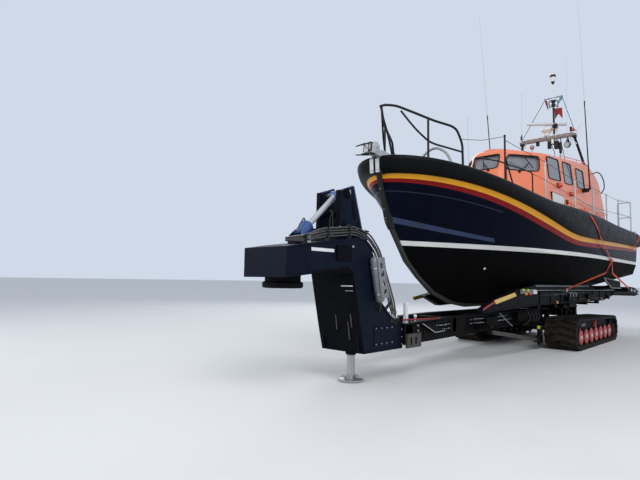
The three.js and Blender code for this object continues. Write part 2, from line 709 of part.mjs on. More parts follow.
// Side rails. Columns: X, top height, height of the lower wire or tube, radius ahead of the post.
const RAIL_POSTS = [
  [8850, 4890, 4410, 6],
  [7000, 4710, 4210, 6],
  [5430, 4720, 4130, 6],
  [3850, 4740, 4200, 6],
  [2100, 4790, 4300, 6],
  [60, 4980, 4390, 15],
];
const RAIL_INSET = 150;
const RAIL_RETURN = 420;
const TALL_POST = { x: 10450, inset: 250, top: 5240, wire: 5130, brace: 4760, foot: 10040 };
function railSide() {
  const tall = (z) => [TALL_POST.x, deckEdge(TALL_POST.x, TALL_POST.inset)[1], z];
  const footPoint = deckEdge(TALL_POST.foot, TALL_POST.inset);
  const pieces = [
    rod(tall(4000), tall(TALL_POST.top), 22),
    rod(tall(TALL_POST.brace), [footPoint[0], footPoint[1], footPoint[2] - 20], 17),
  ];
  let above = tall(TALL_POST.wire);
  let below = tall(TALL_POST.brace - 80);
  for (const [x, top, low, radius] of RAIL_POSTS) {
    const y = deckEdge(x, RAIL_INSET)[1];
    pieces.push(deckPost(x, RAIL_INSET, top, 20));
    pieces.push(rod(above, [x, y, top - 20], radius, 6), rod(below, [x, y, low], radius, 6));
    above = [x, y, top - 20];
    below = [x, y, low];
  }
  const [aftX, aftTop, aftLow] = RAIL_POSTS[RAIL_POSTS.length - 1];
  const [, cornerY, cornerZ] = deckEdge(aftX, RAIL_INSET);
  const innerY = cornerY - RAIL_RETURN;
  pieces.push(rod([aftX, innerY, cornerZ - 20], [aftX, innerY, aftTop], 20));
  for (const z of [aftLow, aftTop - 20]) {
    pieces.push(rod([aftX, cornerY, z], [aftX, innerY, z], 15));
  }
  return seated(join(...pieces), hull);
}
addPair(boat, 'guard_rail', railSide(), 'steel');

// Towing post at the edge of the aft deck: two uprights with a cross pin.
const TOW = { x: 130, y: 140, top: 4230, radius: 50, pinZ: 4100, pinHalf: 290, pinRadius: 32 };
const towPost = join(
  rod([TOW.x, -TOW.y, DECK_Z - 20], [TOW.x, -TOW.y, TOW.top], TOW.radius, 14),
  rod([TOW.x, TOW.y, DECK_Z - 20], [TOW.x, TOW.y, TOW.top], TOW.radius, 14),
  rod([TOW.x, -TOW.pinHalf, TOW.pinZ], [TOW.x, TOW.pinHalf, TOW.pinZ], TOW.pinRadius, 10),
);
add(boat, 'towing_post', seated(towPost, hull), 'steel');

// Waterjets: fixed outlet, steering nozzle turning on an upright axis, reversing bucket on a cross axis.
const NOZZLE_X = -360;
const BUCKET_X = -500;
const OUTLET_END = -250;
const PIVOT_REACH = 192;
const BUCKET_REACH = 214;

// Points of an arc about X and Z, measured from straight aft upwards.
function sector(x, z, radius, fromDegrees, toDegrees, steps) {
  const points = [];
  for (let i = 0; i <= steps; i += 1) {
    const angle = (lerp(fromDegrees, toDegrees, i / steps) * Math.PI) / 180;
    points.push([x - radius * Math.cos(angle), z + radius * Math.sin(angle)]);
  }
  return points;
}

const jetOutlet = cut(
  join(
    rod([-GAP, JET_Y, JET_Z], [OUTLET_END, JET_Y, JET_Z], 235, 20, 190),
    box(-420, -180, JET_Y - 45, JET_Y + 45, JET_Z + PIVOT_REACH + GAP, JET_Z + 225),
    box(-420, -180, JET_Y - 45, JET_Y + 45, JET_Z - 225, JET_Z - PIVOT_REACH - GAP),
    box(-230, -150, JET_Y - 45, JET_Y + 45, JET_Z - 225, JET_Z + 225),
  ),
  rod([-10, JET_Y, JET_Z], [OUTLET_END - 10, JET_Y, JET_Z], 160, 16, 150),
);
const jetNozzle = cut(
  join(
    rod([-340, JET_Y, JET_Z], [-710, JET_Y, JET_Z], 172, 20, 145),
    rod([NOZZLE_X, JET_Y, JET_Z + 120], [NOZZLE_X, JET_Y, JET_Z + PIVOT_REACH], 40, 12),
    rod([NOZZLE_X, JET_Y, JET_Z - PIVOT_REACH], [NOZZLE_X, JET_Y, JET_Z - 120], 40, 12),
    rod([BUCKET_X, JET_Y - BUCKET_REACH, JET_Z], [BUCKET_X, JET_Y - 120, JET_Z], 38, 12),
    rod([BUCKET_X, JET_Y + 120, JET_Z], [BUCKET_X, JET_Y + BUCKET_REACH, JET_Z], 38, 12),
  ),
  rod([-330, JET_Y, JET_Z], [-720, JET_Y, JET_Z], 145, 16, 120),
);
const bucketSide = [
  [BUCKET_X + 45, JET_Z - 20], ...sector(BUCKET_X, JET_Z, 360, 112, 48, 6), [BUCKET_X - 50, JET_Z - 30],
];
const bucketSkin = [...sector(BUCKET_X, JET_Z, 360, 48, 112, 6), ...sector(BUCKET_X, JET_Z, 335, 112, 48, 6)];
const jetBucket = join(
  sidePlate(bucketSide, JET_Y + BUCKET_REACH + GAP, JET_Y + 230),
  sidePlate(bucketSide, JET_Y - 230, JET_Y - BUCKET_REACH - GAP),
  sidePlate(bucketSkin, JET_Y - 225, JET_Y + 225),
);
addPair(boat, 'jet_outlet', jetOutlet, 'steel');
addPair(boat, 'jet_nozzle', jetNozzle, 'steel');
addPair(boat, 'jet_bucket', jetBucket, 'steel');

// Carriage chassis: two long beams, cross-members, track axle, and a box that carries the neck.
const CROSS_MEMBERS = [2050, 3100, 5600, 7200, 9300, 11200];
const PLATE_HALF = 700;
const STRUT = { y: 900, topX: 10250, topZ: 700, footX: 7270, footZ: 300, blockX: 6950, half: 50 };
function chassisBody() {
  const beam = sidePlate([
    [2050, CHASSIS_BOTTOM], [CHASSIS_FRONT, CHASSIS_BOTTOM - 100], [CHASSIS_FRONT, CHASSIS_TOP - 60],
    [10800, CHASSIS_TOP - GAP], [2050, CHASSIS_TOP - GAP],
  ], CHASSIS_HALF - 180, CHASSIS_HALF);
  const pieces = [beam, mirrored(beam)];
  const inside = CHASSIS_HALF - 20;
  for (const x of CROSS_MEMBERS) {
    pieces.push(box(x, x + 160, -inside, inside, CHASSIS_BOTTOM + 30, CHASSIS_TOP - 40));
  }
  pieces.push(box(
    TURN_X - PLATE_HALF, TURN_X + PLATE_HALF,
    -CHASSIS_HALF, CHASSIS_HALF,
    CHASSIS_TOP - 60, CHASSIS_TOP - GAP,
  ));
  pieces.push(box(AXLE_X - 160, AXLE_X + 160, -TRACK_IN + 40, TRACK_IN - 40, 330, CHASSIS_BOTTOM + 20));
  pieces.push(box(
    CHASSIS_FRONT - 300, CHASSIS_FRONT, -inside, inside, CHASSIS_BOTTOM - 60, CHASSIS_TOP - 80,
  ));
  // Side struts from the beams down to the blocks ahead of the tracks.
  const { y, topX, topZ, footX, footZ, blockX, half } = STRUT;
  for (const sign of [1, -1]) {
    const edges = [sign * inside, sign * (y + half)].sort((a, b) => a - b);
    const sides = [sign * y - half, sign * y + half];
    pieces.push(rod([topX, sign * y, topZ], [footX, sign * y, footZ], half + 5, 10));
    pieces.push(box(topX - 70, topX + 70, ...edges, CHASSIS_BOTTOM + 20, CHASSIS_BOTTOM + 140));
    pieces.push(box(topX - 60, topX + 60, ...sides, topZ - 60, CHASSIS_BOTTOM + 60));
    pieces.push(box(blockX - 80, blockX + 80, ...edges, CHASSIS_BOTTOM - 100, CHASSIS_BOTTOM + 40));
    pieces.push(box(blockX - 80, blockX + 80, ...sides, 130, CHASSIS_BOTTOM));
    pieces.push(box(blockX, footX + 60, ...sides, footZ - 70, footZ + 70));
  }
  return join(...pieces);
}
add(carriage, 'chassis', chassisBody(), 'black');

// Swan neck: a leg on the front of the chassis and an arm that reaches forward over the tractor,
// with a round coupling pad below the arm's end. The parking jack's tube runs up inside the leg.
const JACK_TUBE_R = 95;
const JACK_LEG_R = 75;
const JACK_TUBE_LOW = 480;
const JACK_BORE_TOP = 1560;
const NECK_HALF = 500;
const NECK_FOOT = CHASSIS_BOTTOM - 160;
const PAD_X = 16000;
const PAD_Z = 1700;
const PAD_RADIUS = 330;
const NECK_OUTLINE = [
  [CHASSIS_FRONT + GAP, NECK_FOOT], [14500, NECK_FOOT], [14620, 1030], [14830, 1950], [14960, 2050],
  [15940, 1920], [FRONT_END, 1870], [FRONT_END, 2340], [15970, 2410], [15340, 2500], [14620, 2590],
  [14460, 2570], [14230, 2390], [14200, 2250], [14040, 1500], [13600, 1120], [CHASSIS_FRONT + GAP, 1040],
];
const neck = cut(
  join(
    sidePlate(NECK_OUTLINE, -NECK_HALF, NECK_HALF),
    rod([PAD_X, 0, 1960], [PAD_X, 0, PAD_Z], PAD_RADIUS, 24),
    rod([JACK_X, 0, JACK_TUBE_LOW], [JACK_X, 0, NECK_FOOT + 40], JACK_TUBE_R, 16),
  ),
  rod([JACK_X, 0, JACK_TUBE_LOW - 40], [JACK_X, 0, JACK_BORE_TOP], JACK_LEG_R, 16),
);
add(carriage, 'neck', neck, 'blue');

// Tower on the neck: two tapered plates on a base, with a pin across their tops that holds the ram.
const TOWER_IN = 190;
const TOWER_OUT = 280;
const RAM_TOP = [14740, 0, 3390];
const RAM_FOOT = [15680, 0, 2560];
const TOWER_OUTLINE = [
  [14960, 2700], [14950, 3430], [14580, 3560], [14540, 3540], [14270, 2700],
];
const towerPieces = [
  box(14200, 15050, -TOWER_OUT - 40, TOWER_OUT + 40, 2500, 2760),
  sidePlate(TOWER_OUTLINE, TOWER_IN, TOWER_OUT),
  sidePlate(TOWER_OUTLINE, -TOWER_OUT, -TOWER_IN),
  rod([RAM_TOP[0], -TOWER_OUT + 20, RAM_TOP[2]], [RAM_TOP[0], TOWER_OUT - 20, RAM_TOP[2]], 45, 12),
];
add(carriage, 'neck_tower', seated(join(...towerPieces), neck), 'blue');

// Lifting ram from the tower's pin down to a bracket on the arm.
const ramShare = (t) => RAM_TOP.map((v, i) => lerp(v, RAM_FOOT[i], t));
const ram = join(
  rod(RAM_TOP, ramShare(0.75), 50, 12),
  rod(ramShare(0.66), RAM_FOOT, 120, 16),
  box(RAM_FOOT[0] - 150, RAM_FOOT[0] + 150, -90, 90, 2400, RAM_FOOT[2]),
  rod([RAM_TOP[0], -90, RAM_TOP[2]], [RAM_TOP[0], 90, RAM_TOP[2]], 80, 14),
);
const ramPin = rod([RAM_TOP[0], -200, RAM_TOP[2]], [RAM_TOP[0], 200, RAM_TOP[2]], 45 + GAP, 12);
add(carriage, 'neck_ram', seated(cut(ram, ramPin), neck), 'white');

// Parking jack: an inner leg that slides in its tube, with a foot on the ground.
add(carriage, 'parking_jack', join(
  rod([JACK_X, 0, 60], [JACK_X, 0, 1050], JACK_LEG_R - GAP, 16),
  rod([JACK_X, 0, GROUND], [JACK_X, 0, 80], 240, 20, 200),
), 'steel');

// Cradle: two side rails with sloping front ends, cross-members, turntable ring and a wide tail frame.
const RAIL_FRONT = 7600;
const RAIL_REAR = -1300;
const RAIL_HALF = 80;
const RAMP_FRONT = 10000;
const RAMP_Z = 1300;
const TAIL_IN = 1500;
const TAIL_OUT = 1560;
function cradleBody() {
  const railOutline = [
    [RAIL_REAR, 1600], [RAIL_REAR, RAIL_TOP], [RAIL_FRONT, RAIL_TOP], [RAMP_FRONT, RAMP_Z],
    [RAMP_FRONT, RAMP_Z - 110], [9300, RAMP_Z - 100], [RAIL_FRONT, 1250], [600, 1250], [-900, 1420],
  ];
  const rail = sidePlate(railOutline, RAIL_Y - RAIL_HALF, RAIL_Y + RAIL_HALF);
  const pieces = [rail, mirrored(rail)];
  for (const x of [1200, 2700, 6000, 7400]) {
    pieces.push(box(x, x + 140, -RAIL_Y, RAIL_Y, CRADLE_BOTTOM + 20, 1205));
    for (const y of [RAIL_Y, -RAIL_Y]) {
      pieces.push(box(x, x + 140, y - 70, y + 70, CRADLE_BOTTOM + 20, 1300));
    }
  }
  pieces.push(box(TURN_X - 640, TURN_X + 640, -RAIL_Y, RAIL_Y, CRADLE_BOTTOM + 10, 1200));
  for (const y of [RAIL_Y, -RAIL_Y]) {
    pieces.push(box(TURN_X - 300, TURN_X + 300, y - 60, y + 60, CRADLE_BOTTOM + 10, 1300));
  }
  pieces.push(rod([TURN_X, 0, CHASSIS_TOP], [TURN_X, 0, CRADLE_BOTTOM + 40], TURN_RADIUS, 32));
  pieces.push(box(RAIL_REAR - 20, RAIL_REAR + 160, -TAIL_OUT, TAIL_OUT, 1590, 1760));
  const arm = [
    [RAIL_REAR + 100, 1590], [RAIL_REAR + 100, 1790], [-2400, 1740], [REAR_END, 1590],
    [REAR_END, 1420], [-2400, 1500],
  ];
  pieces.push(sidePlate(arm, TAIL_IN, TAIL_OUT), sidePlate(arm, -TAIL_OUT, -TAIL_IN));
  return join(...pieces);
}
add(carriage, 'cradle', seated(cradleBody(), hull, band), 'grey');

// Rubber rollers across the tail frame. Columns: name, X, Z.
const TAIL_ROLLERS = [['front', -1780, 1640], ['middle', -2400, 1600], ['rear', -3020, 1510]];
const ROLLER_R = 130;
for (const [place, x, z] of TAIL_ROLLERS) {
  const roller = rod([x, GAP - TAIL_IN, z], [x, TAIL_IN - GAP, z], ROLLER_R, 16);
  add(carriage, `tail_roller_${place}`, roller, 'rubber');
}

// Tracks: a rubber belt round two end wheels, with chevron lugs.
const FRONT_WHEEL = { x: 6440, z: 455, r: 455 };
const REAR_WHEEL = { x: 2470, z: 410, r: 410 };
const BELT = 55;
const LUG = 45;
const LUG_COUNT = 52;
const LUG_STEPS = { root: 0.42, rise: 0.5, crest: 0.92 };
const LUG_SKEW = 0.55;

// A point on the track loop, for a share of its length, drawn in by depth.
function trackLoop(depth) {
  const [f, r] = [FRONT_WHEEL, REAR_WHEEL];
  const topLean = Math.asin((f.r - r.r) / Math.hypot(f.x - r.x, f.z - r.z)) * 2;
  const straight = f.x - r.x;
  const frontArc = f.r * Math.PI;
  const rearArc = r.r * Math.PI;
  const total = 2 * straight + frontArc + rearArc;
  return (share) => {
    let d = ((share % 1) + 1) % 1 * total;
    if (d < straight) return [r.x + d, GROUND + depth];
    d -= straight;
    if (d < frontArc) {
      const angle = -Math.PI / 2 + (d / frontArc) * (Math.PI + topLean * 0.5);
      return [f.x + (f.r - depth) * Math.cos(angle), f.z + (f.r - depth) * Math.sin(angle)];
    }
    d -= frontArc;
    if (d < straight) {
      const t = d / straight;
      return [lerp(f.x, r.x, t), lerp(f.z + f.r, r.z + r.r, t) - depth];
    }
    d -= straight;
    const angle = Math.PI / 2 + (d / rearArc) * Math.PI;
    return [r.x + (r.r - depth) * Math.cos(angle), r.z + (r.r - depth) * Math.sin(angle)];
  };
}

function trackBody() {
  const outer = trackLoop(0);
  const root = trackLoop(LUG);
  const inner = trackLoop(LUG + BELT);
  const middle = (TRACK_IN + TRACK_OUT) / 2;
  const skew = LUG_SKEW / LUG_COUNT;
  const rows = [[TRACK_IN, 0], [middle, skew], [TRACK_OUT, 0]];
  const outerRings = rows.map(([y, shift]) => {
    const ring = [];
    for (let i = 0; i < LUG_COUNT; i += 1) {
      const at = (step) => (i + step) / LUG_COUNT + shift;
      const { root: flat, rise, crest } = LUG_STEPS;
      ring.push(root(at(0)), root(at(flat)), outer(at(rise)), outer(at(crest)));
    }
    return ring.map(([x, z]) => [x, y, z]);
  });
  const innerRings = rows.map(([y, shift]) => {
    const ring = [];
    for (let i = 0; i < LUG_COUNT; i += 1) {
      for (const step of [0, ...Object.values(LUG_STEPS)]) {
        const [x, z] = inner((i + step) / LUG_COUNT + shift);
        ring.push([x, y, z]);
      }
    }
    return ring;
  });
  const count = outerRings[0].length;
  const sheets = [...outerRings, innerRings[2], innerRings[0]];
  const points = sheets.flat();
  const faces = [];
  for (let k = 0; k < sheets.length; k += 1) {
    const next = (k + 1) % sheets.length;
    for (let j = 0; j < count; j += 1) {
      const n = (j + 1) % count;
      const [a, b] = [k * count + j, k * count + n];
      const [c, d] = [next * count + n, next * count + j];
      faces.push([a, b, c], [a, c, d]);
    }
  }
  return bodyFrom(points, faces);
}
addPair(carriage, 'track', trackBody(), 'rubber');

// Bogie inside each track: frame beam, seven road wheels and two end wheels.
const ROAD_WHEELS = 7;
const ROAD_PITCH = 540;
const ROAD_FIRST = 2840;
const ROAD_RADIUS = 225;
const BELT_TOP = LUG + BELT;
function bogieBody() {
  const middle = (TRACK_IN + TRACK_OUT) / 2;
  const pieces = [
    box(2800, 6100, middle - 70, middle + 70, 480, 680),
    box(AXLE_X - 150, AXLE_X + 150, TRACK_IN - 40 + GAP, middle, 350, 640),
  ];
  for (let i = 0; i < ROAD_WHEELS; i += 1) {
    const x = ROAD_FIRST + i * ROAD_PITCH;
    const z = BELT_TOP + GAP + ROAD_RADIUS;
    pieces.push(rod([x, TRACK_IN + 120, z], [x, middle - 90, z], ROAD_RADIUS, 16));
    pieces.push(rod([x, middle + 90, z], [x, TRACK_OUT - 60, z], ROAD_RADIUS, 16));
    pieces.push(rod([x, TRACK_IN + 140, z], [x, TRACK_OUT - 80, z], 50, 8));
    pieces.push(box(x - 50, x + 50, middle - 60, middle + 60, z - 40, 520));
  }
  for (const wheel of [FRONT_WHEEL, REAR_WHEEL]) {
    const radius = wheel.r - BELT_TOP - 12;
    const z = wheel.z;
    pieces.push(rod([wheel.x, middle + 90, z], [wheel.x, TRACK_OUT - 90, z], radius, 24));
    pieces.push(rod([wheel.x, TRACK_IN + 120, z], [wheel.x, middle - 90, z], radius, 24));
    pieces.push(rod([wheel.x, TRACK_IN + 140, z], [wheel.x, TRACK_OUT - 110, z], 60, 8));
  }
  pieces.push(box(REAR_WHEEL.x - 40, 2860, middle - 60, middle + 60, 380, 600));
  pieces.push(box(6000, FRONT_WHEEL.x + 40, middle - 60, middle + 60, 400, 600));
  return join(...pieces);
}
addPair(carriage, 'bogie', bogieBody(), 'red');

group.position.x = -MIDDLE_X;
export default group;
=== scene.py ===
import math
import bpy
import bmesh
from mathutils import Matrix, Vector


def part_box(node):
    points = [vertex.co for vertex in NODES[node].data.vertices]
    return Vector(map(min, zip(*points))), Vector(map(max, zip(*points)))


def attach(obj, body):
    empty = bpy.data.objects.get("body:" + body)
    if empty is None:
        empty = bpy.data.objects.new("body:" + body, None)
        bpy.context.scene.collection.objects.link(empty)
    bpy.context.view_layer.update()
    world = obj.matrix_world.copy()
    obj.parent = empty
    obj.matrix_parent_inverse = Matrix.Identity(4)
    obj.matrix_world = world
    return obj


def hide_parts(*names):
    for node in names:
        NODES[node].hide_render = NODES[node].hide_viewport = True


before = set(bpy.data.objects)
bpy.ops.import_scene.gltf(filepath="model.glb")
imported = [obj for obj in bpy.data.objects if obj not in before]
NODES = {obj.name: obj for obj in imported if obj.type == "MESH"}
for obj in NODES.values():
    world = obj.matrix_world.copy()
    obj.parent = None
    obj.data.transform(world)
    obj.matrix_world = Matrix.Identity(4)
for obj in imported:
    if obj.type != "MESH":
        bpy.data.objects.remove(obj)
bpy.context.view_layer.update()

# Metres. X = 0 is the boat's transom, +X the bow, +Y port, Z = 0 the ground. The row frame's
# origin is ORIGIN_X ahead of the transom. Halves are made for port and mirrored.
ORIGIN_X = 6.6
BOAT = "cradle_and_boat"
CARRIAGE = "carriage"
SIDES = (("port", 1), ("starboard", -1))
AHEAD, PORT, UP = (1, 0, 0), (0, 1, 0), (0, 0, 1)


def lerp(a, b, t):
    return a + (b - a) * t


def ease(t):
    u = min(1.0, max(0.0, t))
    return u * u * (3 - 2 * u)


def around(count, first=0):
    """Cosine and sine of equal steps round a circle, from first degrees on."""
    turns = [math.radians(first) + 2 * math.pi * k / count for k in range(count)]
    return [(math.cos(turn), math.sin(turn)) for turn in turns]


def circle(centre, side, other, radius, sides):
    return [centre + (side * c + other * s) * radius for c, s in around(sides)]


# Materials


class Nodes:
    """A material's node tree with short calls for what the looks below use."""

    def __init__(self, name):
        self.material = bpy.data.materials.new(name)
        self.material.use_nodes = True
        self.tree = self.material.node_tree
        self.shader = self.tree.nodes["Principled BSDF"]
        self.place = self.add("ShaderNodeTexCoord").outputs["Object"]

    def add(self, kind, **settings):
        node = self.tree.nodes.new(kind)
        for key, value in settings.items():
            setattr(node, key, value)
        return node

    def link(self, source, target):
        self.tree.links.new(source, target)

    def noise(self, scale, detail=4.0, rough=0.6, stretch=(1, 1, 1)):
        mapping = self.add("ShaderNodeMapping")
        mapping.inputs["Scale"].default_value = stretch
        self.link(self.place, mapping.inputs["Vector"])
        node = self.add("ShaderNodeTexNoise")
        node.inputs["Scale"].default_value = scale
        node.inputs["Detail"].default_value = detail
        node.inputs["Roughness"].default_value = rough
        self.link(mapping.outputs["Vector"], node.inputs["Vector"])
        return node.outputs["Fac"]

    def ramp(self, source, stops):
        """stops: (position, colour or grey level)."""
        node = self.add("ShaderNodeValToRGB")
        elements = node.color_ramp.elements
        while len(elements) < len(stops):
            elements.new(0.5)
        for element, (position, value) in zip(elements, stops):
            element.position = position
            colour = value if isinstance(value, tuple) else (value, value, value)
            element.color = (*colour, 1)
        self.link(source, node.inputs["Fac"])
        return node.outputs["Color"]

    def mix(self, factor, first, second):
        """Mixes two colours. Either may be a socket or a colour."""
        node = self.add("ShaderNodeMix", data_type="RGBA")
        self.link(factor, node.inputs["Factor"])
        for value, key in ((first, "A"), (second, "B")):
            socket = next(s for s in node.inputs if s.name == key and s.type == "RGBA")
            if isinstance(value, tuple):
                socket.default_value = (*value, 1)
            else:
                self.link(value, socket)
        return next(s for s in node.outputs if s.type == "RGBA")

    def height(self):
        split = self.add("ShaderNodeSeparateXYZ")
        self.link(self.place, split.inputs["Vector"])
        return split.outputs["Z"]

    def span(self, source, low, high, to_low=0.0, to_high=1.0):
        node = self.add("ShaderNodeMapRange")
        for key, value in (("From Min", low), ("From Max", high),
                           ("To Min", to_low), ("To Max", to_high)):
            node.inputs[key].default_value = value
        self.link(source, node.inputs["Value"])
        return node.outputs["Result"]

    def times(self, first, second):
        node = self.add("ShaderNodeMath", operation="MULTIPLY")
        self.link(first, node.inputs[0])
        self.link(second, node.inputs[1])
        return node.outputs["Value"]

    def bump(self, source, strength, distance):
        node = self.add("ShaderNodeBump")
        node.inputs["Strength"].default_value = strength
        node.inputs["Distance"].default_value = distance
        self.link(source, node.inputs["Height"])
        self.link(node.outputs["Normal"], self.shader.inputs["Normal"])


def shade(colour, share):
    return tuple(min(1.0, c * share) for c in colour)


def finish_of(name, colour, rough=0.45, metal=0.0, spread=0.12, scale=2.5, grain=90.0,
              bump=0.12, depth=0.0008, coat=0.0, shine=0.5, dust=None, wear=None):
    """A paint, metal or rubber whose colour, gloss and surface all vary a little.

    shine: specular level. dust: (colour, height where it ends, share) thins out upwards.
    wear: (colour, share) adds small worn patches.
    """
    look = Nodes(name)
    broad = look.noise(scale, 5.0)
    base = look.ramp(broad, [(0.3, shade(colour, 1 - spread)), (0.7, shade(colour, 1 + spread))])
    if wear:
        worn, share = wear
        patches = look.noise(scale * 6, 8.0, 0.7)
        low = 0.70 - share * 0.12
        mask = look.ramp(patches, [(low, 0.0), (low + 0.08, 0.7)])
        base = look.mix(mask, base, worn)
    if dust:
        dust_colour, top, share = dust
        patches = look.noise(5.0, 8.0, 0.7)
        patchy = look.span(patches, 0.35, 0.65)
        level = look.span(look.height(), 0.0, top, share, 0.0)
        base = look.mix(look.times(patchy, level), base, dust_colour)
    look.link(base, look.shader.inputs["Base Color"])
    gloss = look.span(look.noise(scale * 4, 6.0), 0.3, 0.7, rough * 0.85, min(1.0, rough * 1.2))
    look.link(gloss, look.shader.inputs["Roughness"])
    look.shader.inputs["Metallic"].default_value = metal
    look.shader.inputs["Coat Weight"].default_value = coat
    look.shader.inputs["Specular IOR Level"].default_value = shine
    look.bump(look.noise(grain, 3.0), bump, depth)
    return look.material


SAND = (0.20, 0.15, 0.11)

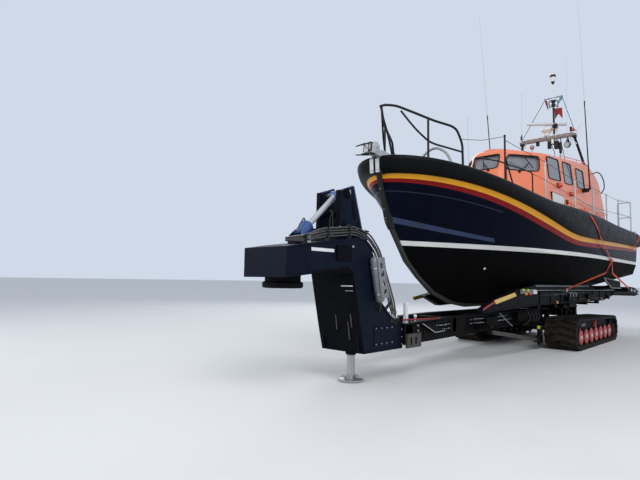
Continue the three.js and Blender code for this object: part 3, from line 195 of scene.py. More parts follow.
# Each paint: colour, roughness, and what differs from finish_of's own settings.
PAINTS = {
    "navy": ((0.0020, 0.0032, 0.0100), 0.32, dict(spread=0.2, bump=0.04, shine=0.03)),
    # Lighter blue for the ledge between the chines, where it catches the light: a painted highlight.
    "chine_blue": ((0.012, 0.026, 0.070), 0.3, dict(spread=0.15, bump=0.04, shine=0.3)),
    # Lighter blue for the crease under the stripes: a painted highlight.
    "crease_blue": ((0.006, 0.011, 0.030), 0.3, dict(spread=0.15, bump=0.04, shine=0.2)),
    "yellow": ((0.74, 0.33, 0.006), 0.35, dict(spread=0.08, bump=0.05, shine=0.3)),
    "red_band": ((0.203, 0.004, 0.006), 0.35, dict(spread=0.12, bump=0.05, shine=0.12)),
    "boot_white": ((0.66, 0.65, 0.62), 0.45, dict(spread=0.06, bump=0.05, wear=((0.35, 0.33, 0.28), 0.35))),
    "antifoul": ((0.0022, 0.0023, 0.0025), 0.7,
        dict(spread=0.3, bump=0.2, shine=0.03, wear=((0.010, 0.010, 0.009), 0.3))),
    "deck": ((0.13, 0.14, 0.15), 0.85, dict(spread=0.1, grain=260.0, bump=0.6, depth=0.002)),
    "orange": ((0.74, 0.19, 0.085), 0.38, dict(spread=0.05, coat=0.2, bump=0.05)),
    "deep_orange": ((0.62, 0.07, 0.02), 0.4, dict(spread=0.1, coat=0.2, bump=0.05)),
    "white": ((0.66, 0.65, 0.63), 0.4, dict(spread=0.05, coat=0.15, bump=0.08)),
    "black": ((0.006, 0.0063, 0.007), 0.42, dict(spread=0.3, bump=0.15, shine=0.25)),
    "fender": ((0.0026, 0.0028, 0.0031), 0.45,
        dict(spread=0.3, scale=1.5, grain=120.0, bump=0.2, depth=0.001, shine=0.09)),
    "steel": ((0.46, 0.47, 0.48), 0.34, dict(metal=0.9, spread=0.12, bump=0.1)),
    "grey": ((0.30, 0.31, 0.32), 0.42,
        dict(metal=0.35, spread=0.12, bump=0.12, wear=((0.12, 0.10, 0.08), 0.3))),
    # Neck blue, kept darker than the paint itself as painted shade.
    "blue": ((0.0035, 0.0060, 0.0150), 0.42,
        dict(spread=0.25, bump=0.12, shine=0.06, wear=((0.02, 0.02, 0.02), 0.15))),
    # Lighter blue for the tower plates' rims: a painted highlight.
    "edge_blue": ((0.026, 0.048, 0.115), 0.4, dict(spread=0.25, bump=0.12, shine=0.35)),
    "ram_blue": ((0.025, 0.07, 0.22), 0.35, dict(spread=0.1, coat=0.2, bump=0.08)),
    # Carriage paints: dark, and darker still as painted shade from the hull above.
    "chassis": ((0.0045, 0.0046, 0.0050), 0.55,
        dict(spread=0.3, bump=0.2, shine=0.05, dust=(SAND, 1.1, 0.07))),
    "cradle": ((0.0045, 0.0046, 0.0050), 0.55,
        dict(spread=0.25, bump=0.2, shine=0.05, wear=((0.03, 0.026, 0.022), 0.2))),
    "rail_grey": ((0.10, 0.115, 0.122), 0.45, dict(metal=0.2, spread=0.2, bump=0.2)),
    "belt": ((0.006, 0.006, 0.006), 0.7, dict(spread=0.2, bump=0.2, shine=0.15)),
    "track": ((0.0065, 0.0062, 0.0056), 0.85,
        dict(spread=0.3, bump=0.5, depth=0.003, shine=0.1, dust=(SAND, 1.3, 0.22))),
    "wheel": ((0.40, 0.02, 0.02), 0.5, dict(spread=0.2, bump=0.15, dust=(SAND, 1.2, 0.5))),
    "hub": ((0.60, 0.54, 0.50), 0.55, dict(metal=0.2, spread=0.15, bump=0.15, dust=(SAND, 1.2, 0.4))),
    "roller": ((0.012, 0.012, 0.013), 0.6, dict(spread=0.3, bump=0.3, shine=0.3)),
    "jet": ((0.36, 0.36, 0.35), 0.4, dict(metal=0.85, spread=0.15, bump=0.2, wear=((0.14, 0.13, 0.11), 0.5))),
    "seat": ((0.03, 0.03, 0.035), 0.6, dict(spread=0.2, grain=200.0, bump=0.3)),
    "trim": ((0.012, 0.014, 0.02), 0.5, dict(spread=0.2, grain=120.0, bump=0.1)),
    "inside": ((0.24, 0.25, 0.26), 0.7, dict(spread=0.1, bump=0.1)),
    "gasket": ((0.008, 0.008, 0.009), 0.6, dict(spread=0.2, bump=0.2, shine=0.25)),
    "strap": ((0.60, 0.07, 0.02), 0.75, dict(spread=0.15, grain=400.0, bump=0.6)),
    "webbing_red": ((0.22, 0.01, 0.014), 0.7, dict(spread=0.15, bump=0.3)),
    "pennant": ((0.10, 0.30, 0.33), 0.7, dict(spread=0.15, grain=500.0, bump=0.4)),
    "lamp_red": ((0.5, 0.01, 0.01), 0.15, dict(spread=0.1, coat=0.8, bump=0.0)),
    "lamp_amber": ((0.75, 0.25, 0.02), 0.15, dict(spread=0.1, coat=0.8)),
    "plate_yellow": ((0.62, 0.40, 0.10), 0.4, dict(spread=0.05)),
    "bright": ((0.30, 0.31, 0.32), 0.32, dict(metal=0.9, spread=0.1, bump=0.06)),
    "sheave": ((0.40, 0.41, 0.42), 0.4, dict(metal=0.2, spread=0.12, bump=0.1)),
    "keel_grey": ((0.020, 0.020, 0.016), 0.55,
        dict(metal=0.2, spread=0.3, bump=0.3, wear=((0.10, 0.09, 0.07), 0.5))),
    "rail_light": ((0.36, 0.35, 0.33), 0.4, dict(metal=0.5, spread=0.2, bump=0.1)),
    "strut": ((0.045, 0.041, 0.034), 0.5, dict(metal=0.2, spread=0.25, bump=0.2, dust=(SAND, 1.0, 0.15))),
    "red_strip": ((0.22, 0.012, 0.014), 0.4, dict(spread=0.15, bump=0.08)),
    "lamp_yellow": ((0.50, 0.52, 0.02), 0.3, dict(spread=0.12, bump=0.05, coat=0.3)),
    "lamp_orange": ((0.80, 0.25, 0.02), 0.3, dict(spread=0.12, bump=0.05, coat=0.3)),
    "lamp_red_lit": ((0.85, 0.03, 0.02), 0.25, dict(spread=0.12, bump=0.05, coat=0.4)),
    # Near-black, most of it painted shade: the neck's underside and leg front, sheets for slots, and a strip
    # on the tower; also a dark box and a ring.
    "neck_dark": ((0.0016, 0.0020, 0.0040), 0.6, dict(spread=0.3, bump=0.15, shine=0.06)),
    "bare_strip": ((0.62, 0.62, 0.62), 0.4, dict(spread=0.06, bump=0.03)),
    "hose": ((0.030, 0.026, 0.022), 0.28, dict(spread=0.25, bump=0.25, coat=0.35)),
    "rod_grey": ((0.42, 0.43, 0.45), 0.3, dict(metal=0.3, spread=0.08, bump=0.04, coat=0.3)),
    "whip_grey": ((0.42, 0.44, 0.48), 0.5, dict(spread=0.08, bump=0.03)),
    "tank": ((0.19, 0.20, 0.21), 0.42, dict(metal=0.25, spread=0.12, scale=6, bump=0.1)),
    "beam_shade": ((0.20, 0.165, 0.15), 0.5, dict(spread=0.15, bump=0.1)),
    "horn": ((0.42, 0.33, 0.25), 0.45, dict(spread=0.1, bump=0.08)),
    "lamp_dark": ((0.24, 0.14, 0.13), 0.3, dict(spread=0.15, coat=0.4)),
    "lamp_glass": ((0.30, 0.32, 0.33), 0.12, dict(spread=0.1, coat=0.6, bump=0.03)),
    "scanner": ((0.52, 0.51, 0.52), 0.35, dict(spread=0.04, coat=0.3, bump=0.05)),
}

PAINT = {name: finish_of(name, colour, rough, **more) for name, (colour, rough, more) in PAINTS.items()}


def glass(name, clear, tint_low, tint_high):
    look = Nodes(name)
    tint = look.ramp(look.noise(1.2, 3.0), [(0.3, tint_low), (0.7, tint_high)])
    look.link(tint, look.shader.inputs["Base Color"])
    gloss = look.span(look.noise(9.0, 6.0, 0.7), 0.35, 0.75, 0.04, 0.16)
    look.link(gloss, look.shader.inputs["Roughness"])
    look.shader.inputs["IOR"].default_value = 1.5
    look.shader.inputs["Transmission Weight"].default_value = clear
    look.bump(look.noise(2.0, 2.0), 0.05, 0.002)
    return look.material


PAINT["glass"] = glass("glass", 0.45, (0.30, 0.31, 0.33), (0.38, 0.39, 0.41))
PAINT["side_glass"] = glass("side_glass", 0.2, (0.13, 0.15, 0.16), (0.19, 0.21, 0.23))


# Building pieces


def bent(before, corner, after, radius, steps):
    """Points round one corner of a path."""
    to_before, to_after = before - corner, after - corner
    reach = min(radius, to_before.length * 0.48, to_after.length * 0.48)
    start, end = corner + to_before.normalized() * reach, corner + to_after.normalized() * reach
    return [start.lerp(corner, k / steps).lerp(corner.lerp(end, k / steps), k / steps)
            for k in range(steps + 1)]


def rounded_path(path, radius, steps=5):
    bends = [p for trio in zip(path, path[1:], path[2:]) for p in bent(*trio, radius, steps)]
    return [path[0], *bends, path[-1]]


def rounded_loop(corners, radius, steps=5):
    here = [Vector(p) for p in corners]
    trios = zip([here[-1], *here], here, [*here[1:], here[0]])
    return [p for trio in trios for p in bent(*trio, radius, steps)]


def smooth_curve(points, x):
    """Height at x on a soft curve through (x, height) points in rising order of x."""
    last = len(points) - 1
    i = min(last - 1, max(0, sum(1 for px, _ in points if px <= x) - 1))

    def slope(k):
        before, after = points[max(0, k - 1)], points[min(last, k + 1)]
        return (after[1] - before[1]) / (after[0] - before[0])

    (x0, z0), (x1, z1) = points[i], points[i + 1]
    width = x1 - x0
    t = min(1.0, max(0.0, (x - x0) / width))
    return ((1 + 2 * t) * (1 - t) ** 2 * z0 + t * (1 - t) ** 2 * width * slope(i)
            + t * t * (3 - 2 * t) * z1 + t * t * (t - 1) * width * slope(i + 1))


def edited(mesh, edit):
    made = bmesh.new()
    made.from_mesh(mesh)
    edit(made)
    made.to_mesh(mesh)
    made.free()


class Shape:
    """Points and faces in boat metres, each face with a paint. Done turns them into one piece."""

    def __init__(self):
        self.points, self.faces, self.paints = [], [], []

    def put(self, points, faces, paint):
        """paint: one name, or a list with one for each face."""
        start = len(self.points)
        self.points += [tuple(p) for p in points]
        self.faces += [tuple(i + start for i in face) for face in faces]
        self.paints += [paint] * len(faces) if isinstance(paint, str) else paint
        return self

    def mirrored(self):
        other = Shape()
        other.points = [(x, -y, z) for x, y, z in self.points]
        other.faces = [face[::-1] for face in self.faces]
        other.paints = list(self.paints)
        return other

    def doubled(self):
        """Adds the mirror image, on the other side."""
        other = self.mirrored()
        return self.put(other.points, other.faces, other.paints)

    def block(self, x, y, z, paint):
        """x, y and z are (low, high) pairs."""
        points = [(a, b, c) for c in z for b in y for a in x]
        faces = [(0, 2, 3, 1), (4, 5, 7, 6), (0, 1, 5, 4), (2, 6, 7, 3), (0, 4, 6, 2), (1, 3, 7, 5)]
        return self.put(points, faces, paint)

    def blocks(self, paint, *rows):
        """Each row: low and high X, low and high Y, low and high Z."""
        for x0, x1, y0, y1, z0, z1 in rows:
            self.block((x0, x1), (y0, y1), (z0, z1), paint)
        return self

    def skin(self, rows, paint):
        """An open skin through rows of equally many points. paint: a name, or one from row and strip."""
        count = len(rows[0])
        cells = [(i, j) for i in range(len(rows) - 1) for j in range(count - 1)]
        faces = [(i * count + j, (i + 1) * count + j, (i + 1) * count + j + 1, i * count + j + 1)
                 for i, j in cells]
        return self.put([p for row in rows for p in row], faces,
                        paint if isinstance(paint, str) else [paint(i, j) for i, j in cells])

    def rings(self, rings, paint, closed=False):
        """A skin through rings of equally many points, capped at both ends unless closed."""
        count, total = len(rings[0]), len(rings)
        faces = [(i * count + j, i * count + (j + 1) % count, (i + 1) % total * count + (j + 1) % count,
                  (i + 1) % total * count + j)
                 for i in range(total if closed else total - 1) for j in range(count)]
        if not closed:
            faces += [tuple(range(count))[::-1], tuple(range((total - 1) * count, total * count))]
        return self.put([p for ring in rings for p in ring], faces, paint)

    def tube(self, path, radius, paint, sides=12, round_to=0.0, closed=False):
        """A bar along a path. radius may be one number or one for each point.
        round_to bends the path's corners with that radius."""
        path = [Vector(p) for p in path]
        if round_to:
            path = rounded_path(path, round_to)
        radii = [radius] * len(path) if isinstance(radius, (int, float)) else radius
        turned = None
        rings = []
        for i, p in enumerate(path):
            before = path[i - 1] if i or closed else p
            after = path[(i + 1) % len(path)] if i + 1 < len(path) or closed else p
            along = (after - before).normalized()
            turned = turned or along.orthogonal().normalized()
            turned = (turned - along * turned.dot(along)).normalized()
            rings.append(circle(p, turned, along.cross(turned), radii[i], sides))
        return self.rings(rings, paint, closed)

    def tubes(self, paths, radius, paint, sides=8, round_to=0.0):
        for path in paths:
            self.tube(path, radius, paint, sides, round_to)
        return self

    def lathe(self, start, axis, profile, paint, sides=32):
        """Turns (distance along, radius) pairs about an axis through start."""
        start, axis = Vector(start), Vector(axis).normalized()
        side = axis.orthogonal().normalized()
        rings = [circle(start + axis * along, side, axis.cross(side), radius, sides)
                 for along, radius in profile]
        return self.rings(rings, paint)

    def heads(self, spots, axis, foot, height, top, paint="steel", sides=8):
        """Bolt heads and buttons: radius at the foot, height, and radius at the top."""
        for spot in spots:
            self.lathe(spot, axis, [(0, foot), (height, top)], paint, sides)
        return self

    def prism(self, outline, across, paint):
        """outline: points in space, in order round a flat face. across: the extrusion vector."""
        near = [Vector(p) for p in outline]
        return self.rings([near, [p + Vector(across) for p in near]], paint)

    def plate(self, outline, low, high, paint):
        """A plate from an outline in X and Z, between two values of Y."""
        return self.prism([(x, low, z) for x, z in outline], (0, high - low, 0), paint)

    def mesh(self, name, weld=False):
        names = sorted(set(self.paints))
        mesh = bpy.data.meshes.new(name)
        mesh.from_pydata([(x - ORIGIN_X, y, z) for x, y, z in self.points], [], self.faces)
        for paint in names:
            mesh.materials.append(PAINT[paint])
        mesh.polygons.foreach_set("material_index", [names.index(p) for p in self.paints])

        def closed_up(made):
            if weld:
                bmesh.ops.remove_doubles(made, verts=made.verts, dist=1e-5)
            bmesh.ops.recalc_face_normals(made, faces=made.faces)

        edited(mesh, closed_up)
        return mesh

    def done(self, name, body, slot=None, replaces=(), bevel=0.0, crease=35, segments=2, weld=False):
        return place(self.mesh(name, weld), name, body, replaces, bevel, crease, segments)

    def one_each(self, name, node, *rest, **settings):
        """The port piece and its mirror image, each replacing its side's node."""
        for (side, _), half in zip(SIDES, (self, self.mirrored())):
            half.done(f"{name}_{side}", *rest, [f"{node}_{side}"], **settings)


def place(mesh, name, body, replaces=(), bevel=0.0, crease=35, segments=2):
    soften(mesh, crease)
    obj = bpy.data.objects.new(name, mesh)
    bpy.context.scene.collection.objects.link(obj)
    if bevel:
        cut = obj.modifiers.new("edges", "BEVEL")
        cut.width = bevel
        cut.segments = segments
        cut.limit_method = "ANGLE"
        cut.angle_limit = math.radians(40)
        cut.harden_normals = True
    if replaces:
        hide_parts(*replaces)
    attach(obj, body)
    return obj


def soften(mesh, crease):
    mesh.polygons.foreach_set("use_smooth", [True] * len(mesh.polygons))
    mesh.set_sharp_from_angle(angle=math.radians(crease))


def dress(node, paint, crease=35, other=None, where=None):
    """Gives a CAD node its finish and smooth shading, and another finish where a face's middle says."""
    mesh = NODES[node].data
    mesh.materials.clear()
    mesh.materials.append(PAINT[paint])
    if other:
        mesh.materials.append(PAINT[other])
    chosen = [int(bool(where and where(face.center + Vector((ORIGIN_X, 0, 0)))))
              for face in mesh.polygons]
    mesh.polygons.foreach_set("material_index", chosen)
    soften(mesh, crease)


def carved(obj, cutters):
    """Cuts the closed shapes out of a piece and gives back its new mesh."""
    tools = []
    for shape in cutters:
        tool = bpy.data.objects.new("cutter", shape.mesh("cutter"))
        bpy.context.scene.collection.objects.link(tool)
        tools.append(tool)
        cut = obj.modifiers.new("cut", "BOOLEAN")
        cut.operation = "DIFFERENCE"
        cut.solver = "EXACT"
        cut.object = tool
    bpy.context.view_layer.update()
    seen = obj.evaluated_get(bpy.context.evaluated_depsgraph_get())
    mesh = bpy.data.meshes.new_from_object(seen)
    obj.modifiers.clear()
    obj.data = mesh
    for tool in tools:
        bpy.data.objects.remove(tool)
    return mesh


# Hull

# Hull lines, keel to deck edge. Each runs from the transom to its end on the stem. Columns:
# half-breadth at the transom and amidships, height at the transom and amidships, stem end X and
# Z, where the taper starts, its power and root, where the rise starts, its power, and how much
# the rise levels off towards the stem.
DECK_Z = 3.78
HULL_LINES = [
    (0, 0, 1.620, 1.245, 9.720, 1.245, 0.3, 2.0, 1.0, 0.8, 1.0, 0),
    (0.490, 0.490, 1.778, 1.400, 10.600, 1.360, 0.3, 2.0, 0.9, 0.7, 1.0, 0),
    (0.975, 0.975, 1.935, 1.640, 11.410, 1.610, 0.3, 2.0, 0.9, 0.7, 1.0, 0),
    (1.460, 1.460, 2.093, 1.960, 12.000, 1.960, 0.29, 2.0, 0.9, 0.7, 1.0, 0),
    (1.950, 1.950, 2.250, 2.240, 12.450, 2.280, 0.28, 2.0, 0.95, 0.6, 1.0, 0),
    (2.050, 2.050, 2.550, 2.560, 13.100, 3.060, 0.36, 2.2, 1.0, 0.45, 2.0, 0),
    (2.060, 2.060, 2.610, 2.640, 13.150, 3.190, 0.36, 2.2, 1.0, 0.45, 2.1, 0),
    (2.110, 2.130, 3.250, 3.120, 13.410, 4.005, 0.35, 2.38, 0.55, 0.55, 1.37, 1.3),
    (2.110, 2.140, DECK_Z, DECK_Z, 13.475, 4.300, 0.366, 1.9, 0.46, 0.66, 1.36, 0.91),
]
SPRAY_RAIL, CHINE, FENDER_FOOT, DECK_EDGE = 4, 6, 7, 8
# Share of the length over which each line bends from level into its rise.
SHEER_SOFTNESS = 0.022


def hull_point(line, s):
    y_aft, y_mid, z_aft, z_mid, x_end, z_end, taper, power, root, *sheer = HULL_LINES[line]
    rise, rise_power, level = sheer
    t = max(0.0, (s - taper) / (1 - taper))
    y = (y_aft + (y_mid - y_aft) * ease(s / taper)) * max(0.0, 1 - t ** power) ** root
    r = min(1.0, SHEER_SOFTNESS * math.log1p(math.exp((s - rise) / SHEER_SOFTNESS)) / (1 - rise))
    z = z_aft + (z_mid - z_aft) * ease(s / rise)
    z += (z_end - z_mid) * r ** rise_power * (1 + level * (1 - r))
    return Vector((x_end * s, y, z))


def hull_at(line, x):
    return hull_point(line, min(1.0, max(0.0, x / HULL_LINES[line][4])))


STATION_COUNT = 150
STATIONS = [1 - (1 - i / STATION_COUNT) ** 1.7 for i in range(STATION_COUNT + 1)]
# Stripe depths below the fender, from the stern to the bow: (share of length, yellow, both).
STRIPES = [(0.0, 0.10, 0.19), (0.45, 0.12, 0.24), (0.70, 0.13, 0.25), (0.85, 0.10, 0.20),
           (1.0, 0.09, 0.16)]
BOOT_TOP = (2.60, 2.70)
# A crease under the stripes, drawing away from them towards the bow. It is only a strip in the plane of the
# side, painted lighter as painted highlight.
CREASE_START, CREASE_DROP, CREASE_WIDTH = 0.5, 0.16, 0.022
# Paint of the strip above each point of a section. The lighter blues on the ledge between the chines and on
# the crease are painted highlights.
SECTION_PAINTS = ["antifoul"] * 4 + ["navy", "chine_blue", "navy", "navy", "crease_blue", "navy",
                                     "red_band", "yellow", "navy"]
# The painted highlights on the ledge between the two chines and on the crease fade out aft of this share of
# the length.
PAINTED_HIGHLIGHT_START = 0.80


def stripe_depth(s, column):
    for (s0, *low), (s1, *high) in zip(STRIPES, STRIPES[1:]):
        if s <= s1:
            return lerp(low[column], high[column], (s - s0) / (s1 - s0))
    return STRIPES[-1][column + 1]


def hull_section(s):
    """Points up the port side."""
    row = [hull_point(line, s) for line in range(len(HULL_LINES))]
    foot, chine = row[FENDER_FOOT], row[CHINE]
    drop = stripe_depth(s, 1) + CREASE_DROP * ease((s - CREASE_START) / (1 - CREASE_START))
    yellow, red, crease, crease_low = (
        foot.lerp(chine, min(most, depth / (foot.z - chine.z))) for depth, most in (
            (stripe_depth(s, 0), 0.45), (stripe_depth(s, 1), 0.9), (drop, 0.94),
            (drop + CREASE_WIDTH, 0.97)))
    middle = crease_low.lerp(chine, 0.5)
    return [*row[:CHINE + 1], middle, crease_low, crease, red, yellow, foot, row[DECK_EDGE]]


def hull_shape():
    sections = [hull_section(s) for s in STATIONS]

    def paint(i, j):
        # Aft, the painted highlights give way to navy.
        lit = SECTION_PAINTS[j] in ("chine_blue", "crease_blue")
        return "navy" if lit and STATIONS[i] < PAINTED_HIGHLIGHT_START else SECTION_PAINTS[j]

    made = Shape().skin(sections, paint).doubled()
    across = (1, 0.5, 0, -0.5, -1)
    made.skin([[(edge.x, edge.y * t, edge.z) for t in across] for *_, edge in sections], "deck")
    stern = [tuple(p) for p in sections[0]]
    loop = stern + [(x, -y, z) for x, y, z in stern[:0:-1]]
    return made.put(loop, [tuple(range(len(loop)))], "navy")


def hull_piece():
    """The skin, cut along the boot top's edges and painted between them."""
    mesh = hull_shape().mesh("hull_skin", weld=True)
    mesh.materials.append(PAINT["boot_white"])
    names = [material.name for material in mesh.materials]
    low, high = BOOT_TOP

    def banded(made):
        for z in BOOT_TOP:
            bmesh.ops.bisect_plane(made, geom=[*made.verts, *made.edges, *made.faces],
                                   plane_co=(0, 0, z), plane_no=UP)
        for face in made.faces:
            z, paint = face.calc_center_median().z, names[face.material_index]
            if paint == "deck":
                continue
            if z < high:
                paint = "antifoul" if z < low else "boot_white"
            elif paint == "antifoul":
                paint = "navy"
            face.material_index = names.index(paint)

    edited(mesh, banded)
    place(mesh, "hull_skin", BOAT, ["hull"], crease=16)


hull_piece()

# Fender: a full, round-nosed band outside the deck edge, right round the bow. Its top's height
# above the deck edge is given at the stern and from amidships forward.
FENDER_RISE_AFT, FENDER_RISE_FORE, FENDER_RISE_FROM, FENDER_RISE_TO = -0.045, 0.060, 0.15, 0.60
FENDER_DEPTH, FENDER_FULLNESS, FENDER_STEPS = 0.140, 0.7, 18
NOSE_HALF, NOSE_ROUND, NOSE_STEPS = 0.15, 0.05, 6


def fender_ring(s):
    foot, edge = hull_point(FENDER_FOOT, s), hull_point(DECK_EDGE, s)
    ahead = hull_point(DECK_EDGE, min(1.0, s + 0.004))
    behind = hull_point(DECK_EDGE, max(0.0, s - 0.004))
    slope = Vector((behind.y - ahead.y, ahead.x - behind.x, 0)).normalized()
    out = Vector(AHEAD) if s == 1 else slope
    low, edge = foot + out * 0.001, edge + out * 0.001
    share = ease((s - FENDER_RISE_FROM) / (FENDER_RISE_TO - FENDER_RISE_FROM))
    top = edge + Vector((0, 0, lerp(FENDER_RISE_AFT, FENDER_RISE_FORE, share)))
    centre, half = (low + top) / 2, (top - low) / 2
    ring = [low, edge]
    for i in range(FENDER_STEPS):
        angle = math.pi * i / FENDER_STEPS
        up = math.copysign(abs(math.cos(angle)) ** FENDER_FULLNESS, math.cos(angle))
        ring.append(centre + half * up + out * (FENDER_DEPTH * math.sin(angle) ** FENDER_FULLNESS))
    return [Vector((p.x, 0, p.z)) for p in ring] if s == 1 else ring


def fender_piece():
    """Each side's band ends in a rounded upright edge beside the stem head."""
    rings = [ring for ring in map(fender_ring, STATIONS) if max(p.y for p in ring) > NOSE_HALF]
    end = rings[-1]
    centre = sum(end, Vector()) / len(end)
    for i in range(1, NOSE_STEPS + 1):
        t = i / NOSE_STEPS
        size = math.sqrt(max(0.0, 1 - t * t)) * 0.3 + 0.7
        shift = Vector((0.2, -1, 0)) * NOSE_ROUND * t
        rings.append([centre + (p - centre) * size + shift for p in end])
    made = Shape().rings(rings, "fender").doubled()
    made.done("fender_skin", BOAT, "fender_rubber", ["fender"], crease=50)


fender_piece()

# Bow: black stem band over the stem, grey keel band under the hull, and the stem head.
STEM_BAND_HALF, STEM_BAND_AHEAD, STEM_BAND_BACK = 0.062, 0.034, 0.17
# Points on the front of the stem: X, Z.
STEM_LINE = [(9.72, 1.245), (10.60, 1.360), (11.41, 1.610), (12.00, 1.960), (12.45, 2.280),
             (13.10, 3.060), (13.15, 3.190), (13.41, 4.005)]
STEM_STEPS, BAND_CHANGE_X = 6, 12.95
KEEL_AFT_X, KEEL_FORE_X, KEEL_STEPS = 1.30, 9.5, 24


def band_rings(stem, half, ahead, back):
    """Sections of a band along (x, z) points, square to the line."""
    rings = []
    for i, (x, z) in enumerate(stem):
        (x0, z0), (x1, z1) = stem[max(0, i - 1)], stem[min(len(stem) - 1, i + 1)]
        out = Vector((z1 - z0, 0, x0 - x1)).normalized()
        rings.append([Vector((x, y, z)) + out * d for y, d in (
            (half, -back), (half, ahead * 0.5), (half * 0.75, ahead), (-half * 0.75, ahead),
            (-half, ahead * 0.5), (-half, -back))])
    return rings


def stem_and_keel():
    fine = [(lerp(x0, x1, i / STEM_STEPS), lerp(z0, z1, i / STEM_STEPS))
            for (x0, z0), (x1, z1) in zip(STEM_LINE, STEM_LINE[1:]) for i in range(STEM_STEPS)]
    fine.append(STEM_LINE[-1])
    high = [p for p in fine if p[0] >= BAND_CHANGE_X]
    low = [p for p in fine if p[0] <= BAND_CHANGE_X + 0.1]
    keel = [hull_at(0, lerp(KEEL_AFT_X, KEEL_FORE_X, i / KEEL_STEPS)) for i in range(KEEL_STEPS + 1)]
    made = Shape()
    made.rings(band_rings(high, STEM_BAND_HALF, STEM_BAND_AHEAD, STEM_BAND_BACK), "black")
    made.rings(band_rings([*((p.x, p.z) for p in keel), *low], 0.045, 0.024, 0.06), "keel_grey")
    made.heads([(x + 0.02, 0, z - 0.008) for x, z in high[2::3]], (1, 0, -0.35),
               0.012, 0.026, 0.010, sides=10)
    made.done("stem_and_keel_band", BOAT, "bare_metal", ["keel_band"], crease=30)


stem_and_keel()

STEM_HEAD_X, STEM_HEAD_LOW, STEM_HEAD_HIGH = 13.52, 3.98, 4.345
STRIP_IN, STRIP_OUT = 0.022, 0.120


def stem_head_piece():
    x, low, high = STEM_HEAD_X, STEM_HEAD_LOW, STEM_HEAD_HIGH
    # A stainless strip up the face and back over the top, with two bolts.
    made = Shape().plate([
        (x - 0.03, low + 0.04), (x + 0.045, low + 0.03), (x + 0.065, high - 0.05), (x, high + 0.022),
        (13.24, high + 0.022), (13.24, high - 0.01), (x - 0.03, high - 0.02)], STRIP_IN, STRIP_OUT, "bright")
    for z in (low + 0.09, high - 0.11):
        made.lathe((x + 0.04, (STRIP_IN + STRIP_OUT) / 2, z), (1, 0, 0.05),
                   [(0, 0.02), (0.024, 0.018), (0.030, 0.010)], "steel", 12)
    half = NOSE_HALF - 0.01
    made.doubled().plate([(13.20, low + 0.06), (x - 0.05, low), (x, low + 0.05), (x + 0.03, high - 0.06),
                          (x - 0.02, high), (13.20, high)], -half, half, "black")
    made.done("stem_head", BOAT, "bare_metal", bevel=0.008)


stem_head_piece()

# Bow roller: a large flanged sheave on a bed plate, with guide horns ahead of it.
SHEAVE_X, SHEAVE_Z, SHEAVE_R, SHEAVE_HALF = 13.63, 4.505, 0.125, 0.095
CHEEK_IN, CHEEK_OUT = 0.06, 0.088


def bow_roller_piece():
    cheek = [(13.02, 4.35), (13.45, 4.35), (13.60, 4.37), (13.80, 4.39), (13.85, 4.46), (13.83, 4.55),
             (13.79, 4.57), (13.76, 4.46), (13.60, 4.44), (13.44, 4.50), (13.02, 4.46)]
    made = Shape().plate(cheek, CHEEK_IN, CHEEK_OUT, "sheave")
    for path in ([(13.72, 4.575), (13.80, 4.575), (14.08, 4.455)],
                 [(13.66, 4.375), (13.76, 4.355), (14.08, 4.285)]):
        made.tube([(x, (CHEEK_IN + CHEEK_OUT) / 2, z) for x, z in path], [0.017, 0.017, 0.011], "black", 10)
    r = SHEAVE_R
    made.doubled().lathe((SHEAVE_X, -SHEAVE_HALF, SHEAVE_Z), PORT, [
        (0, r - 0.012), (0.008, r), (0.026, r), (0.036, r - 0.03), (0.07, 0.075), (0.12, 0.075),
        (0.154, r - 0.03), (0.164, r), (0.182, r), (0.19, r - 0.012)], "sheave", 40)
    made.heads([(SHEAVE_X, -SHEAVE_HALF - 0.02, SHEAVE_Z)], PORT, 0.02, 0.23, 0.02, sides=12)
    made.blocks("sheave", (13.05, 13.52, -0.09, 0.09, 4.36, 4.40))
    made.blocks("black", (13.775, 13.825, -0.092, 0.092, 4.40, 4.57))
    made.blocks("bright", (13.83, 13.85, -0.05, 0.05, 4.38, 4.56))
    made.done("bow_roller_sheave", BOAT, "grey_paint", ["bow_roller"], bevel=0.005)


bow_roller_piece()

# Pulpit, bent from black tube, with flanged feet. Columns: points along the port half, radius, bends.
PULPIT = [
    ([(13.37, 0, 5.45), (13.30, 0.06, 5.48), (13.08, 0.18, 5.50), (12.69, 0.44, 5.37), (12.26, 0.61, 5.29),
      (11.86, 0.79, 5.24), (11.72, 0.845, 5.19), (11.62, 0.885, 5.00), (11.56, 0.90, 4.86),
      (11.54, 0.905, 4.20)], 0.026, 0.12),
    ([(12.99, 0.24, 5.40), (12.71, 0.41, 5.05), (12.44, 0.56, 4.82), (12.29, 0.63, 4.77),
      (11.92, 0.78, 4.73), (11.545, 0.905, 4.70)], 0.021, 0.2),
    ([(12.43, 0.56, 5.32), (12.43, 0.56, 4.20)], 0.024, 0),
]
PULPIT_NOSE = [(13.34, 0, 5.44), (13.29, 0, 5.24), (13.08, 0, 4.86), (12.86, 0, 4.26)]
PULPIT_FEET = [(11.54, 0.905), (12.43, 0.56)]


def pulpit_pieces():
    made = Shape()
    for path, radius, bend in PULPIT:
        made.tube(path, radius, "black", 14, bend)
    for x, y in PULPIT_FEET:
        made.lathe((x, y, hull_at(DECK_EDGE, x).z - 0.01), UP, [(0, 0.06), (0.02, 0.06), (0.026, 0.035)],
                   "steel", 20)
    other = made.mirrored()
    made.tube(PULPIT_NOSE, 0.022, "black", 14, 0.3)
    for (side, _), half in zip(SIDES, (made, other)):
        half.done(f"pulpit_tube_{side}", BOAT, "black_fittings", [f"pulpit_{side}"], crease=45)


pulpit_pieces()

